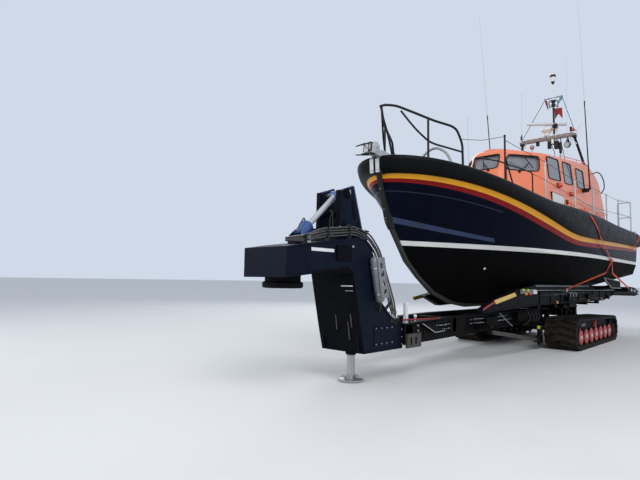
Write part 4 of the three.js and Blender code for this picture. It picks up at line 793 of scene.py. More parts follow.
# Wheelhouse: a thin shell lofted through three levels under a crowned roof, with its windows cut.
# Levels: height, half-breadth and X of the front's edge, X and half-breadth of the side's start.
HOUSE_LEVELS = [(3.7803, 0.52, 8.85, 7.70, 1.400), (4.90, 0.44, 8.48, 7.33, 1.275),
                (5.56, 0.40, 8.18, 7.08, 1.190)]
HOUSE_AFT = 1.05
HOUSE_WALL = 0.04
EAVES = [(1.05, 5.36), (1.30, 5.675), (1.90, 5.895), (2.70, 6.02), (5.28, 5.75), (7.08, 5.56),
         (8.18, 5.56)]
ROOF_CROWN, ROOF_SHARE, ROOF_SET_AFT, ROOF_SET_FORE = 0.075, 0.82, 0.06, -0.14
EAVE_ROUND = 0.11
# Where the side has points, from the front aft.
SIDE_X = [6.4, 5.8, 5.28, 4.6, 3.9, 3.2, 2.7, 2.3, 1.9, 1.6, 1.3]


def house_outline(level):
    z, front_y, front_x, side_x, side_y = HOUSE_LEVELS[level]
    start, edge, side = (Vector(p) for p in ((front_x, 0, z), (front_x, front_y, z), (side_x, side_y, z)))
    straight = [Vector((x, side_y, z)) for x in SIDE_X]
    front = rounded_path([start, edge, side], 0.16, 6)[:-1]
    front += rounded_path([edge, side, straight[0]], 0.30, 6)[1:-1]
    corner = [straight[-1], Vector((HOUSE_AFT, side_y, z)), Vector((HOUSE_AFT, 0, z))]
    aft = [Vector((HOUSE_AFT, y, z)) for y in (0.9, 0.45, 0)]
    return front + straight + rounded_path(corner, 0.10)[1:-1] + aft


def house_face_x(z, front):
    """X of the middle front face, or half-breadth of the side, at a height under the eaves."""
    low, high = HOUSE_LEVELS[1:]
    t = (z - low[0]) / (high[0] - low[0])
    column = 2 if front else 4
    return lerp(low[column], high[column], t)


def side_y_at(x, z):
    low, high = HOUSE_LEVELS[1:] if z >= HOUSE_LEVELS[1][0] else HOUSE_LEVELS[:2]
    top = smooth_curve(EAVES, x) if z >= HOUSE_LEVELS[1][0] else high[0]
    return lerp(low[4], high[4], (z - low[0]) / (top - low[0]))


def corner_face(along, z, out):
    """A point on the face between front and side: along from 0 to 1, out from the face."""
    low, high = HOUSE_LEVELS[1:]
    t = (z - low[0]) / (high[0] - low[0])
    _, front_y, front_x, side_x, side_y = [lerp(a, b, t) for a, b in zip(low, high)]
    normal = Vector((side_y - front_y, front_x - side_x, 0)).normalized()
    return Vector((lerp(front_x, side_x, along), lerp(front_y, side_y, along), z)) + normal * out


def house_rows():
    low, middle, high = (house_outline(i) for i in range(3))
    crown = []
    for p in high:
        p.z = smooth_curve(EAVES, p.x)
        inward = lerp(ROOF_SET_AFT, ROOF_SET_FORE, ease((p.x - HOUSE_AFT) / 7.1))
        crown.append(Vector((p.x + inward, p.y * ROOF_SHARE, p.z + ROOF_CROWN)))
    rows = [low, [a.lerp(b, 0.5) for a, b in zip(low, middle)], middle]
    below = [top.lerp(wall, min(0.5, EAVE_ROUND / (top - wall).length)) for top, wall in zip(high, middle)]
    past = [top.lerp(roof, min(0.9, EAVE_ROUND / (roof - top).length)) for top, roof in zip(high, crown)]
    for t in (0, 0.2, 0.4, 0.6, 0.8, 1):
        rows.append([a.lerp(b, t).lerp(b.lerp(c, t), t) for a, b, c in zip(below, high, past)])
    rows.append(crown)
    for share, up in ((0.6, 0.022), (0.3, 0.032), (0.0, 0.036)):
        rows.append([Vector((p.x, p.y * share, p.z + up)) for p in crown])
    return rows


# Side windows: front top, front bottom, aft bottom and aft top corners in X and Z.
SIDE_WINDOWS = [
    [(7.02, 5.48), (7.12, 4.81), (6.01, 4.90), (6.01, 5.56)],
    [(5.62, 5.59), (5.64, 4.90), (4.79, 4.97), (4.79, 5.65)],
    [(4.29, 5.63), (4.31, 4.99), (3.45, 5.01), (3.45, 5.66)],
]
FRONT_LOW, FRONT_HIGH, FRONT_HALF = 5.01, 5.44, 0.37
CORNER_LOW, CORNER_HIGH, CORNER_FROM, CORNER_TO = 4.96, 5.43, 0.13, 0.86
DOORWAY_Y, DOORWAY_Z = (-0.36, 0.34), (3.84, 5.25)
WINDOW_ROUND = 0.10
GASKET = 0.015
CORNER_OUT = corner_face(0.5, CORNER_LOW, 1) - corner_face(0.5, CORNER_LOW, 0)


def window_loops():
    """Rounded outlines on the house's faces, each with the way out of that face."""
    port = []
    for corners in SIDE_WINDOWS:
        flat = rounded_loop([(x, 0, z) for x, z in corners], WINDOW_ROUND)
        port.append(([Vector((p.x, side_y_at(p.x, p.z), p.z)) for p in flat], Vector(PORT)))
    corners = [corner_face(CORNER_FROM, CORNER_LOW, 0), corner_face(CORNER_TO, CORNER_LOW, 0),
               corner_face(CORNER_TO, CORNER_HIGH, 0), corner_face(CORNER_FROM, CORNER_HIGH, 0)]
    port.append((rounded_loop(corners, WINDOW_ROUND * 1.2), CORNER_OUT))
    flip = Vector((1, -1, 1))
    starboard = [([p * flip for p in loop], out * flip) for loop, out in port]
    half, low, high = FRONT_HALF, FRONT_LOW, FRONT_HIGH
    front = [(house_face_x(z, True), y, z)
             for y, z in ((half, low), (-half, low), (-half, high), (half, high))]
    return [*port, *starboard, (rounded_loop(front, WINDOW_ROUND), Vector(AHEAD))]


def house_piece():
    half = Shape().skin(house_rows(), "orange")
    shell = half.doubled().done("wheelhouse_shell", BOAT, "house_paint", ["wheelhouse"], crease=50, weld=True)
    shell.data.materials.append(PAINT["inside"])
    thick = shell.modifiers.new("wall", "SOLIDIFY")
    thick.thickness = HOUSE_WALL
    thick.offset = -1
    thick.material_offset = 1
    cutters = [Shape().prism([p - out * 0.15 for p in loop], out * 0.3, "orange")
               for loop, out in window_loops()]
    cutters.append(Shape().block((HOUSE_AFT - 0.1, HOUSE_AFT + 0.15), DOORWAY_Y, DOORWAY_Z, "orange"))
    soften(carved(shell, cutters), 40)
    gaskets, panes = Shape(), Shape()
    for loop, out in window_loops():
        gaskets.tube([p + out * 0.006 for p in loop], GASKET, "gasket", 8, closed=True)
        if out.x == 0:
            panes.prism([p - out * 0.004 for p in loop], out * -0.005, "side_glass")
    gaskets.done("window_gaskets", BOAT, "black_fittings", crease=60)
    panes.done("side_window_panes", BOAT, "window_glass", crease=30)


house_piece()

# Fittings on the wheelhouse. What is listed for port goes to starboard as a mirror image.
HANDRAIL_Z, COVER_Z, VENT_X, VENT_Z, BOARD_X = 4.42, 4.18, 5.72, 4.30, 6.6


def wiper(made, foot, tip, blade, out):
    """A pantograph wiper: motor boss, two arms and a blade across the glass."""
    foot, tip, out = Vector(foot), Vector(tip), Vector(out)
    made.lathe(foot - out * 0.02, out, [(0, 0.035), (0.05, 0.032), (0.07, 0.015)], "black", 16)
    across = (tip - foot).cross(out).normalized() * 0.012
    for shift in (across, -across):
        made.tube([foot + out * 0.05 + shift, tip + out * 0.035 + shift], 0.008, "black", 8)
    along = Vector(blade)
    made.tube([tip - along + out * 0.02, tip + out * 0.03, tip + along + out * 0.02], 0.013, "black", 8)


def house_fittings():
    made = Shape()
    # Roof handrail along the eave, on stubs.
    rail = [(x, 1.10, smooth_curve(EAVES, x) + 0.10) for x in (5.5, 4.9, 4.3, 3.7, 3.1, 2.6)]
    fore, aft = ((x, 1.11, smooth_curve(EAVES, at) + 0.01) for x, at in ((5.56, 5.5), (2.54, 2.6)))
    made.tube([fore, *rail, aft], 0.014, "orange", 10, 0.05)
    made.tubes([[(x, y, z), (x, y + 0.01, z - 0.10)] for x, y, z in rail[1:-1]], 0.011, "orange")
    # Grab rail round the aft corner.
    made.tube([(2.15, 1.19, 5.80), (2.10, 1.36, 5.87), (1.75, 1.40, 5.80), (1.50, 1.42, 5.62),
               (1.45, 1.42, 5.36), (1.42, 1.30, 5.18)], 0.018, "black", 10, 0.08)
    # White handrail low on the side, on four stand-offs.
    low_rail = [(x, side_y_at(x, HANDRAIL_Z) + 0.09, HANDRAIL_Z + 0.02 * (x - 0.8))
                for x in (4.4, 3.2, 2.0, 1.1)]
    made.tube(low_rail, 0.019, "white", 12)
    made.tubes([[(x, y, z), (x, y - 0.11, z - 0.03)] for x, y, z in low_rail], 0.014, "white", 10)
    # The moulded step along the foot of the house, and three covers with bright catches.
    foot_y = side_y_at(3.0, 3.95)
    made.blocks("orange", (1.35, 5.6, foot_y - 0.03, foot_y + 0.045, 3.79, 3.93))
    made.blocks("white", (1.35, 5.6, foot_y - 0.03, foot_y + 0.055, 3.93, 3.955))
    for x in (5.05, 3.55, 2.05):
        y = side_y_at(x, COVER_Z)
        made.blocks("orange", (x - 0.26, x + 0.26, y - 0.03, y + 0.022, COVER_Z - 0.17, COVER_Z + 0.17))
        made.blocks("bright", (x - 0.05, x + 0.05, y + 0.02, y + 0.042, COVER_Z + 0.08, COVER_Z + 0.12))
    # Round vent with a dark rim.
    vent_y = side_y_at(5.62, 4.22)
    made.lathe((VENT_X, vent_y - 0.01, VENT_Z), PORT, [(0, 0.075), (0.03, 0.075), (0.04, 0.06)],
               "gasket", 24)
    made.lathe((VENT_X, vent_y + 0.02, VENT_Z), PORT, [(0, 0.06), (0.035, 0.055), (0.05, 0.03)],
               "deep_orange", 24)
    # Blank white board in a thin frame.
    for x0, x1, z0, z1, out, paint in ((6.12, 7.12, 4.13, 4.40, 0.022, "white"),
                                       (6.10, 7.14, 4.11, HANDRAIL_Z, 0.012, "gasket")):
        made.blocks(paint, (x0, x1, side_y_at(BOARD_X, z1) - 0.02, side_y_at(BOARD_X, z0) + out, z0, z1))
    # Two orange marker lights on black bases.
    for x, z, r in ((6.35, 4.72, 0.075), (5.2, 4.62, 0.07)):
        y = side_y_at(x, z)
        made.lathe((x, y - 0.01, z), PORT, [(0, r * 1.1), (0.03, r * 1.1), (0.035, r)], "black", 20)
        made.lathe((x, y + 0.02, z), PORT, [(0, r), (0.06, r * 0.95), (0.10, r * 0.7), (0.115, r * 0.3)],
                   "deep_orange", 20)
    made.doubled().done("house_side_fittings", BOAT, "house_paint", crease=40)

    wipers = Shape()
    wiper(wipers, corner_face(0.42, CORNER_LOW - 0.05, 0), corner_face(0.62, 5.20, 0),
          (corner_face(0.52, 5.36, 0) - corner_face(0.72, 5.04, 0)) * 0.5,
          corner_face(0.5, 5, 1) - corner_face(0.5, 5, 0))
    wipers.doubled()
    wiper(wipers, (house_face_x(FRONT_LOW - 0.05, True), 0.12, FRONT_LOW - 0.05),
          (house_face_x(5.2, True), -0.06, 5.20), (-0.05, -0.04, 0.17), (1, 0, 0.45))
    wipers.done("window_wipers", BOAT, "black_fittings")


house_fittings()

# Mast
POST_X, BEAM_X, BEAM_Z, BEAM_HALF, BEAM_DEEP, BEAM_WIDE = 2.32, 3.09, 7.13, 0.98, 0.075, 0.09
BEAM_LOW, BEAM_TOP = BEAM_Z - BEAM_DEEP, BEAM_Z + BEAM_DEEP
CROSSBAR_HALF, CROSSBAR_Z = 0.33, 8.88
SCANNER_TURN, SCANNER_HALF, SCANNER_DEEP = math.radians(40), 0.71, 0.06
SCANNER_X, SCANNER_LOW, SCANNER_HIGH = 3.12, 7.60, 7.69


def beam_piece():
    x, z, wide, half, low, high = BEAM_X, BEAM_Z, BEAM_WIDE, BEAM_HALF, BEAM_LOW, BEAM_TOP
    # End caps, and fairings over the legs.
    made = Shape().lathe((x, half - 0.004, z), PORT, [(0, 0.07), (0.012, 0.055)], "white", 20)
    made.tube([(x + 0.02, 0.72, low + 0.01), (x - 0.08, 0.95, low - 0.28)], 0.016, "white", 10)
    made.doubled()
    made.blocks("white", (x - wide, x + wide, -half, half, z - 0.005, high))
    made.blocks("beam_shade", (x - wide + 0.012, x + wide - 0.012, -half + 0.012, half - 0.012, low, z))
    # A pipe in clips along the front.
    front = x + wide
    made.blocks("grey", *((front - 0.002, front + 0.010, y - 0.012, y + 0.012, z - 0.035, z + 0.06)
                          for y in (-0.86 + i * 0.215 for i in range(9))))
    made.tube([(front + 0.016, y, z + 0.02) for y in (-0.9, 0.9)], 0.009, "black", 8)
    # Black fitting on the starboard end; red side lamp and white stub on the port end.
    made.lathe((x, -0.93, high), UP, [(0, 0.045), (0.05, 0.045), (0.07, 0.028), (0.12, 0.028),
                                      (0.14, 0.04), (0.17, 0.03)], "black", 20)
    made.blocks("black", (x - 0.05, x + 0.03, 0.76, 0.82, high - 0.01, 7.40),
                (x - 0.06, x + 0.05, 0.80, 0.95, high - 0.01, high + 0.05))
    made.lathe((x, 0.86, high + 0.04), UP, [(0, 0.045), (0.02, 0.05), (0.09, 0.05), (0.11, 0.03)],
               "lamp_red", 24)
    made.tube([(x, 0.95, 7.20), (x, 1.06, 7.38), (x, 1.12, 7.46)], 0.024, "white", 12)
    made.done("mast_beam_shell", BOAT, "white_paint", ["mast_beam"], bevel=0.012, crease=30)


beam_piece()


def post_piece():
    made = Shape().blocks("black", (POST_X - 0.06, BEAM_X - BEAM_WIDE - 0.001, -0.06, 0.06,
                                    BEAM_Z - 0.06, BEAM_Z + 0.04))
    for low, high, radius, paint, sides in (
            (BEAM_Z, 8.50, 0.036, "black", 16), (8.50, 8.92, 0.026, "white", 16),
            (8.90, 9.42, 0.017, "white", 14)):
        made.tube([(POST_X, 0, low), (POST_X, 0, high)], radius, paint, sides)
    made.tube([(POST_X, y, CROSSBAR_Z) for y in (-CROSSBAR_HALF, CROSSBAR_HALF)], 0.019, "grey", 12)
    made.heads([(POST_X, y, CROSSBAR_Z - 0.03) for y in (-0.3, -0.16, 0.16, 0.3)], UP,
               0.012, 0.07, 0.012, "black", 10)
    # The lamp drum, then the sensor: black cone, white drum, black ring, white dome.
    for z, paint, sides, profile in (
            (8.52, "black", 24, [(0, 0.04), (0.02, 0.075), (0.10, 0.08), (0.12, 0.05), (0.17, 0.05),
                                 (0.19, 0.085), (0.25, 0.085), (0.27, 0.05)]),
            (9.40, "black", 28, [(0, 0.022), (0.05, 0.04), (0.10, 0.075)]),
            (9.50, "white", 28, [(0, 0.078), (0.01, 0.085), (0.19, 0.09)]),
            (9.685, "black", 28, [(0, 0.10), (0.01, 0.108), (0.07, 0.108), (0.08, 0.10)]),
            (9.76, "white", 28, [(0, 0.096), (0.03, 0.096), (0.08, 0.082), (0.115, 0.055), (0.13, 0.02)])):
        made.lathe((POST_X, 0, z), UP, profile, paint, sides)
    # Three curved arms with side lamps round the lamp drum.
    foot, up = Vector((POST_X, 0, 8.76)), Vector(UP)
    for c, s in around(3, 80):
        out = Vector((c, s, 0))
        lamp = foot + out * 0.15 - up * 0.26
        made.tube([foot, foot + out * 0.12 + up * 0.02, foot + out * 0.19 - up * 0.10, lamp + up * 0.04],
                  0.018, "black", 10, 0.08)
        made.lathe(lamp - up * 0.02, UP, [(0, 0.03), (0.01, 0.04), (0.07, 0.04), (0.08, 0.028)], "black", 18)
        made.lathe(lamp, UP, [(0, 0.041), (0.035, 0.041)], "lamp_glass", 18)
    made.done("mast_post_and_lamps", BOAT, "black_fittings", ["mast_post"], crease=40)

    top = Vector((POST_X, CROSSBAR_HALF - 0.025, CROSSBAR_Z - 0.026))
    foot = Vector((BEAM_X - 0.03, 0.915, BEAM_TOP + 0.02))
    stay = Shape().tube([top, foot], 0.010, "black", 10)
    stay.tubes([[top.lerp(foot, share), top.lerp(foot, share + 0.04)] for share in (0.04, 0.93)],
               0.017, "steel", 10)
    stay.blocks("steel", (BEAM_X - 0.055, BEAM_X - 0.005, 0.89, 0.94, BEAM_TOP, BEAM_TOP + 0.03))
    stay.one_each("mast_stay_wire", "mast_stay", BOAT, "bare_metal")


post_piece()


def radar_pieces():
    made = Shape().lathe((SCANNER_X, 0, BEAM_TOP), UP, [
        (0, 0.12), (0.015, 0.12), (0.02, 0.085), (0.09, 0.085), (0.11, 0.11), (0.18, 0.19), (0.20, 0.205),
        (0.24, 0.205), (0.28, 0.18), (0.32, 0.10), (0.345, 0.07)], "white", 40)
    made.heads([(SCANNER_X + c * 0.104, s * 0.104, BEAM_TOP + 0.012) for c, s in around(6)], UP,
               0.009, 0.012, 0.008)
    made.done("radar_pedestal_shell", BOAT, "white_paint", ["radar_pedestal"])

    along = Vector((-math.sin(SCANNER_TURN), math.cos(SCANNER_TURN), 0))
    across = Vector((along.y, -along.x, 0))
    middle = Vector((SCANNER_X, 0, (SCANNER_LOW + SCANNER_HIGH) / 2))
    section = [across * (math.copysign(abs(c) ** 0.5, c) * SCANNER_DEEP)
               + Vector(UP) * (math.copysign(abs(s) ** 0.5, s) * 0.045) for c, s in around(20)]
    bar = Shape().rings([
        [middle + along * share * SCANNER_HALF + p * size for p in section] for share, size in (
            (-1, 0.55), (-0.985, 0.85), (-0.95, 1), (-0.12, 1), (0.12, 1), (0.95, 1), (0.985, 0.85),
            (1, 0.55))], "scanner")
    bar.lathe((SCANNER_X, 0, 7.561), UP, [(0, 0.055), (0.03, 0.05), (0.05, 0.09)], "scanner", 28)
    bar.done("radar_scanner_cover", "scanner", "white_paint", ["radar_scanner"], crease=40)


radar_pieces()

HORN_Y, HORN_Z, HORN_AFT, HORN_FORE = 0.33, 7.47, 3.03, 3.31
LIGHT_Y, LIGHT_Z, LIGHT_YOKE = 0.68, 6.75, 6.88
ROOF_LAMP_X, ROOF_LAMP_Y, ROOF_LAMP_Z = 5.54, 0.30, 6.14


def mast_lamps():
    reach = HORN_FORE - HORN_AFT
    made = Shape()
    for x, paint, sides, profile in (
            (HORN_AFT, "horn", 32, [
                (0, 0.03), (0.01, 0.048), (0.08, 0.052), (0.12, 0.06), (reach - 0.05, 0.095),
                (reach - 0.01, 0.109), (reach, 0.109), (reach - 0.012, 0.096), (reach - 0.02, 0.094)]),
            (HORN_FORE - 0.022, "gasket", 32, [(0, 0.094), (0.006, 0.088)]),
            (HORN_FORE - 0.03, "black", 20, [(0, 0.035), (0.022, 0.032), (0.03, 0.02)])):
        made.lathe((x, HORN_Y, HORN_Z), AHEAD, profile, paint, sides)
    made.blocks("white", (BEAM_X - 0.02, BEAM_X + 0.06, HORN_Y - 0.04, HORN_Y + 0.04, BEAM_TOP, 7.44))
    made.done("loudhailer_horn", BOAT, "white_paint", ["loudhailer"])

    top = BEAM_LOW - 0.0003
    made = Shape().lathe((BEAM_X, LIGHT_Y, LIGHT_YOKE), UP, [
        (0, 0.05), (0.03, 0.06), (0.10, 0.035), (0.15, 0.03), (top - LIGHT_YOKE, 0.03)], "black", 20)
    made.tubes([[(BEAM_X, LIGHT_Y, 6.885), (BEAM_X, LIGHT_Y + side * 0.10, 6.86),
                 (BEAM_X, LIGHT_Y + side * 0.102, 6.75)] for side in (1, -1)], 0.012, "black", 10, 0.04)
    made.lathe((BEAM_X - 0.11, LIGHT_Y, LIGHT_Z), AHEAD, [
        (0, 0.03), (0.02, 0.06), (0.07, 0.085), (0.11, 0.095), (0.19, 0.098), (0.20, 0.104), (0.215, 0.104),
        (0.218, 0.09)], "black", 32)
    made.lathe((BEAM_X + 0.10, LIGHT_Y, LIGHT_Z), AHEAD, [(0, 0.088), (0.008, 0.085), (0.014, 0.05)],
               "lamp_glass", 32)
    made.done("searchlight_lamp", BOAT, "black_fittings", ["searchlight"])

    # Boxes, speaker and cables under the beam, and the ball lamp on the roof ahead of it.
    made = Shape()
    for x, y, z, half, tall, paint in (
            (3.10, 0.07, 6.86, 0.055, 0.13, "black"), (3.05, 0.30, 6.84, 0.07, 0.14, "black"),
            (3.02, 0.42, 6.72, 0.04, 0.20, "black"), (3.12, 0.19, 6.96, 0.04, 0.07, "white"),
            (3.06, -0.35, 6.97, 0.05, 0.06, "black")):
        made.blocks(paint, (x - half, x + half, y - half, y + half, z - tall,
                            top if tall < 0.1 else z + tall))
        made.tube([(x, y, z + tall - 0.01), (x, y, top + 0.01)], 0.014, "white", 10)
    made.tubes([[(3.05, y - 0.04, top - 0.02), (3.08, y, 6.75), (3.02, y + 0.06, z),
                 (2.95, y + 0.02, smooth_curve(EAVES, 2.95) + 0.06)]
                for y, z in ((0.16, 6.60), (0.36, 6.52), (0.48, 6.45))], 0.011, "black", 8, 0.15)
    made.tube([(ROOF_LAMP_X, ROOF_LAMP_Y, smooth_curve(EAVES, ROOF_LAMP_X) + 0.06),
               (ROOF_LAMP_X, ROOF_LAMP_Y, ROOF_LAMP_Z + 0.02)], 0.016, "grey", 12)
    made.lathe((ROOF_LAMP_X, ROOF_LAMP_Y, ROOF_LAMP_Z), UP, [
        (0, 0.03), (0.02, 0.062), (0.07, 0.078), (0.12, 0.062), (0.145, 0.02)], "lamp_dark", 24)
    made.done("mast_boxes_and_cables", BOAT, "black_fittings", bevel=0.006, crease=40)


mast_lamps()


def flag(name, paint, top, across, down, width, drop, wave, cut):
    """A small flag hanging from its top edge. cut gives the depth of the notch between two tails at
    each share of the width, from 0 to 1, as a share of the drop."""
    top, across, down = Vector(top), Vector(across).normalized(), Vector(down).normalized()
    out = across.cross(down)
    columns, rows = 12, 14
    points = []
    for v in (j / rows for j in range(rows + 1)):
        for u in (i / columns for i in range(columns + 1)):
            ripple = wave * math.sin(6.5 * u + 2.2 * v) * (0.3 + 0.7 * v)
            points.append(top + across * (u * width) + down * (v * drop * (1 - cut(u))) + out * ripple)
    lines = [points[i:i + columns + 1] for i in range(0, len(points), columns + 1)]
    made = Shape().skin(lines, paint).done(name, BOAT, "seat_trim", crease=60)
    thick = made.modifiers.new("cloth", "SOLIDIFY")
    thick.thickness = 0.0012


flag("mast_flag", "webbing_red", (POST_X, 0.036, 8.46), (0, 1, -0.12), (0, 0.02, -1), 0.27, 0.42, 0.02,
     lambda u: 0.45 * (1 - abs(2 * u - 1)))
flag("mast_pennant_port", "pennant", (POST_X, 0.225, 8.86), (0, 1, -0.1), (0, -0.25, -1), 0.13, 0.30, 0.012,
     lambda u: 0.85 * u)
flag("mast_pennant_starboard", "webbing_red", (POST_X, -0.31, 8.84), PORT, (0, 0.2, -1), 0.08, 0.44, 0.014,
     lambda u: 0.7 * abs(2 * u - 1))

# Neck, tower, lifting ram and jack of the carriage
NECK_HALF, NECK_RECESS, NECK_EDGE = 0.5, 0.016, 0.03
# Outline in X and Z from the foot's aft corner, ahead under the arm, and back over its top.
NECK_OUTLINE = [
    (13.301, 0.56), (14.50, 0.56), (14.62, 1.03), (14.83, 1.95), (14.96, 2.05), (15.94, 1.92),
    (16.40, 1.87), (16.40, 2.34), (15.97, 2.41), (15.34, 2.50), (14.62, 2.59), (14.46, 2.57),
    (14.23, 2.39), (14.20, 2.25), (14.04, 1.50), (13.60, 1.12), (13.301, 1.04),
]
# Rim edges under the arm and down the leg's front, painted near-black as painted shade.
NECK_PAINTED_SHADE_EDGES = (1, 2, 3, 4)
PAD_X, PAD_Z, PAD_RADIUS, JACK_X = 16.0, 1.70, 0.33, 14.25


def drawn_in(outline, by):
    """The outline in X and Z with every edge moved inwards."""
    count = len(outline)
    area = sum(a[0] * b[1] - b[0] * a[1] for a, b in zip(outline, outline[1:] + outline[:1]))
    sign = 1 if area > 0 else -1
    out = []
    for i in range(count):
        before, here, after = (Vector(outline[k % count]) for k in (i - 1, i, i + 1))
        first, second = (here - before).normalized(), (after - here).normalized()
        inward = Vector((-first.y - second.y, first.x + second.x)) * sign
        inward.normalize()
        reach = by / max(0.35, abs(inward.dot(Vector((-first.y, first.x)))))
        out.append(tuple(here + inward * reach))
    return out


def edged_plate(made, outline, low, high, recess, edge, web, rim, dark=()):
    """A plate on edge with a rim that stands proud of its faces all round. The last argument lists, by their
    place in the outline, the rim's edges that are painted near-black as painted shade."""
    made.plate(drawn_in(outline, edge / 2), low + recess, high - recess, web)
    sides = list(zip(outline, drawn_in(outline, edge)))
    for i, ((first, inner), (second, far)) in enumerate(zip(sides, sides[1:] + sides[:1])):
        made.plate([first, second, far, inner], low, high, "neck_dark" if i in dark else rim)


def neck_piece():
    face = NECK_HALF - NECK_RECESS
    made = Shape()
    # Blank name strip, service box with its lamp, and inspection covers.
    for x0, x1, z0, z1, out, paint in (
            (15.31, 15.85, 2.30, 2.355, 0.006, "bare_strip"), (14.88, 15.25, 2.17, 2.43, 0.03, "neck_dark"),
            (13.60, 14.20, 0.66, 1.02, 0.012, "blue"), (15.36, 15.90, 2.00, 2.10, 0.010, "blue")):
        made.blocks(paint, (x0, x1, face - 0.004, face + out, z0, z1))
    made.lathe((14.86, face + 0.03, 2.42), PORT, [(0, 0.022), (0.02, 0.02), (0.024, 0.01)], "lamp_glass", 16)
    made.heads([(x, face + 0.012, z) for x in (13.65, 13.82, 13.98, 14.15) for z in (0.70, 0.98)], PORT,
               0.014, 0.012, 0.012)
    # Gussets at the foot of the leg, and the bolts that hold it to the chassis.
    made.plate([(14.505, 0.60), (14.60, 1.02), (14.56, 0.60)], 0.40, 0.425, "blue")
    made.heads([(13.33, 0.497, z) for z in (0.64, 0.78, 0.92)], PORT, 0.017, 0.014, 0.015, sides=6)
    made.doubled()
    # The rim is near-black under the arm and down the leg's front: painted shade.
    edged_plate(made, NECK_OUTLINE, -NECK_HALF, NECK_HALF, NECK_RECESS, NECK_EDGE, "blue", "blue",
                NECK_PAINTED_SHADE_EDGES)
    made.lathe((PAD_X, 0, PAD_Z), UP, [
        (0, 0.24), (0.004, PAD_RADIUS - 0.02), (0.03, PAD_RADIUS), (0.09, PAD_RADIUS), (0.11, 0.29),
        (0.20, 0.29), (0.215, 0.31), (0.24, 0.31)], "chassis", 48)
    made.lathe((JACK_X, 0, 0.48), UP, [(0, 0.078), (0.002, 0.094), (0.03, 0.105), (0.05, 0.105),
                                       (0.06, 0.095), (0.10, 0.095)], "blue", 28)
    # Step treads and clipped hoses on the front of the leg.
    made.blocks("bare_strip", (14.73, 14.80, 0.20, 0.46, 1.735, 1.755))
    made.blocks("steel", (14.71, 14.77, 0.28, 0.45, 1.655, 1.668))
    made.tubes([[(14.74 - (1.80 - top) * 0.23, y, top), (14.64 - (1.03 - low) * 0.2, y + 0.03, low)]
                for y, top, low in ((0.30, 1.60, 1.02), (-0.05, 1.58, 0.96), (0.22, 1.50, 0.80))],
               0.013, "hose")
    made.done("neck_body", CARRIAGE, "neck_paint", ["neck"], bevel=0.006, crease=30)


neck_piece()

HOSE_PATH = [(16.38, 2.44), (15.97, 2.48), (15.55, 2.60), (15.20, 2.64), (14.74, 2.70), (14.34, 2.60),
             (14.08, 2.36), (13.83, 1.88), (13.60, 1.37)]
HOSES, HOSE_STEP, HOSE_Y, HOSE_RADIUS = 4, 0.045, 0.455, 0.016


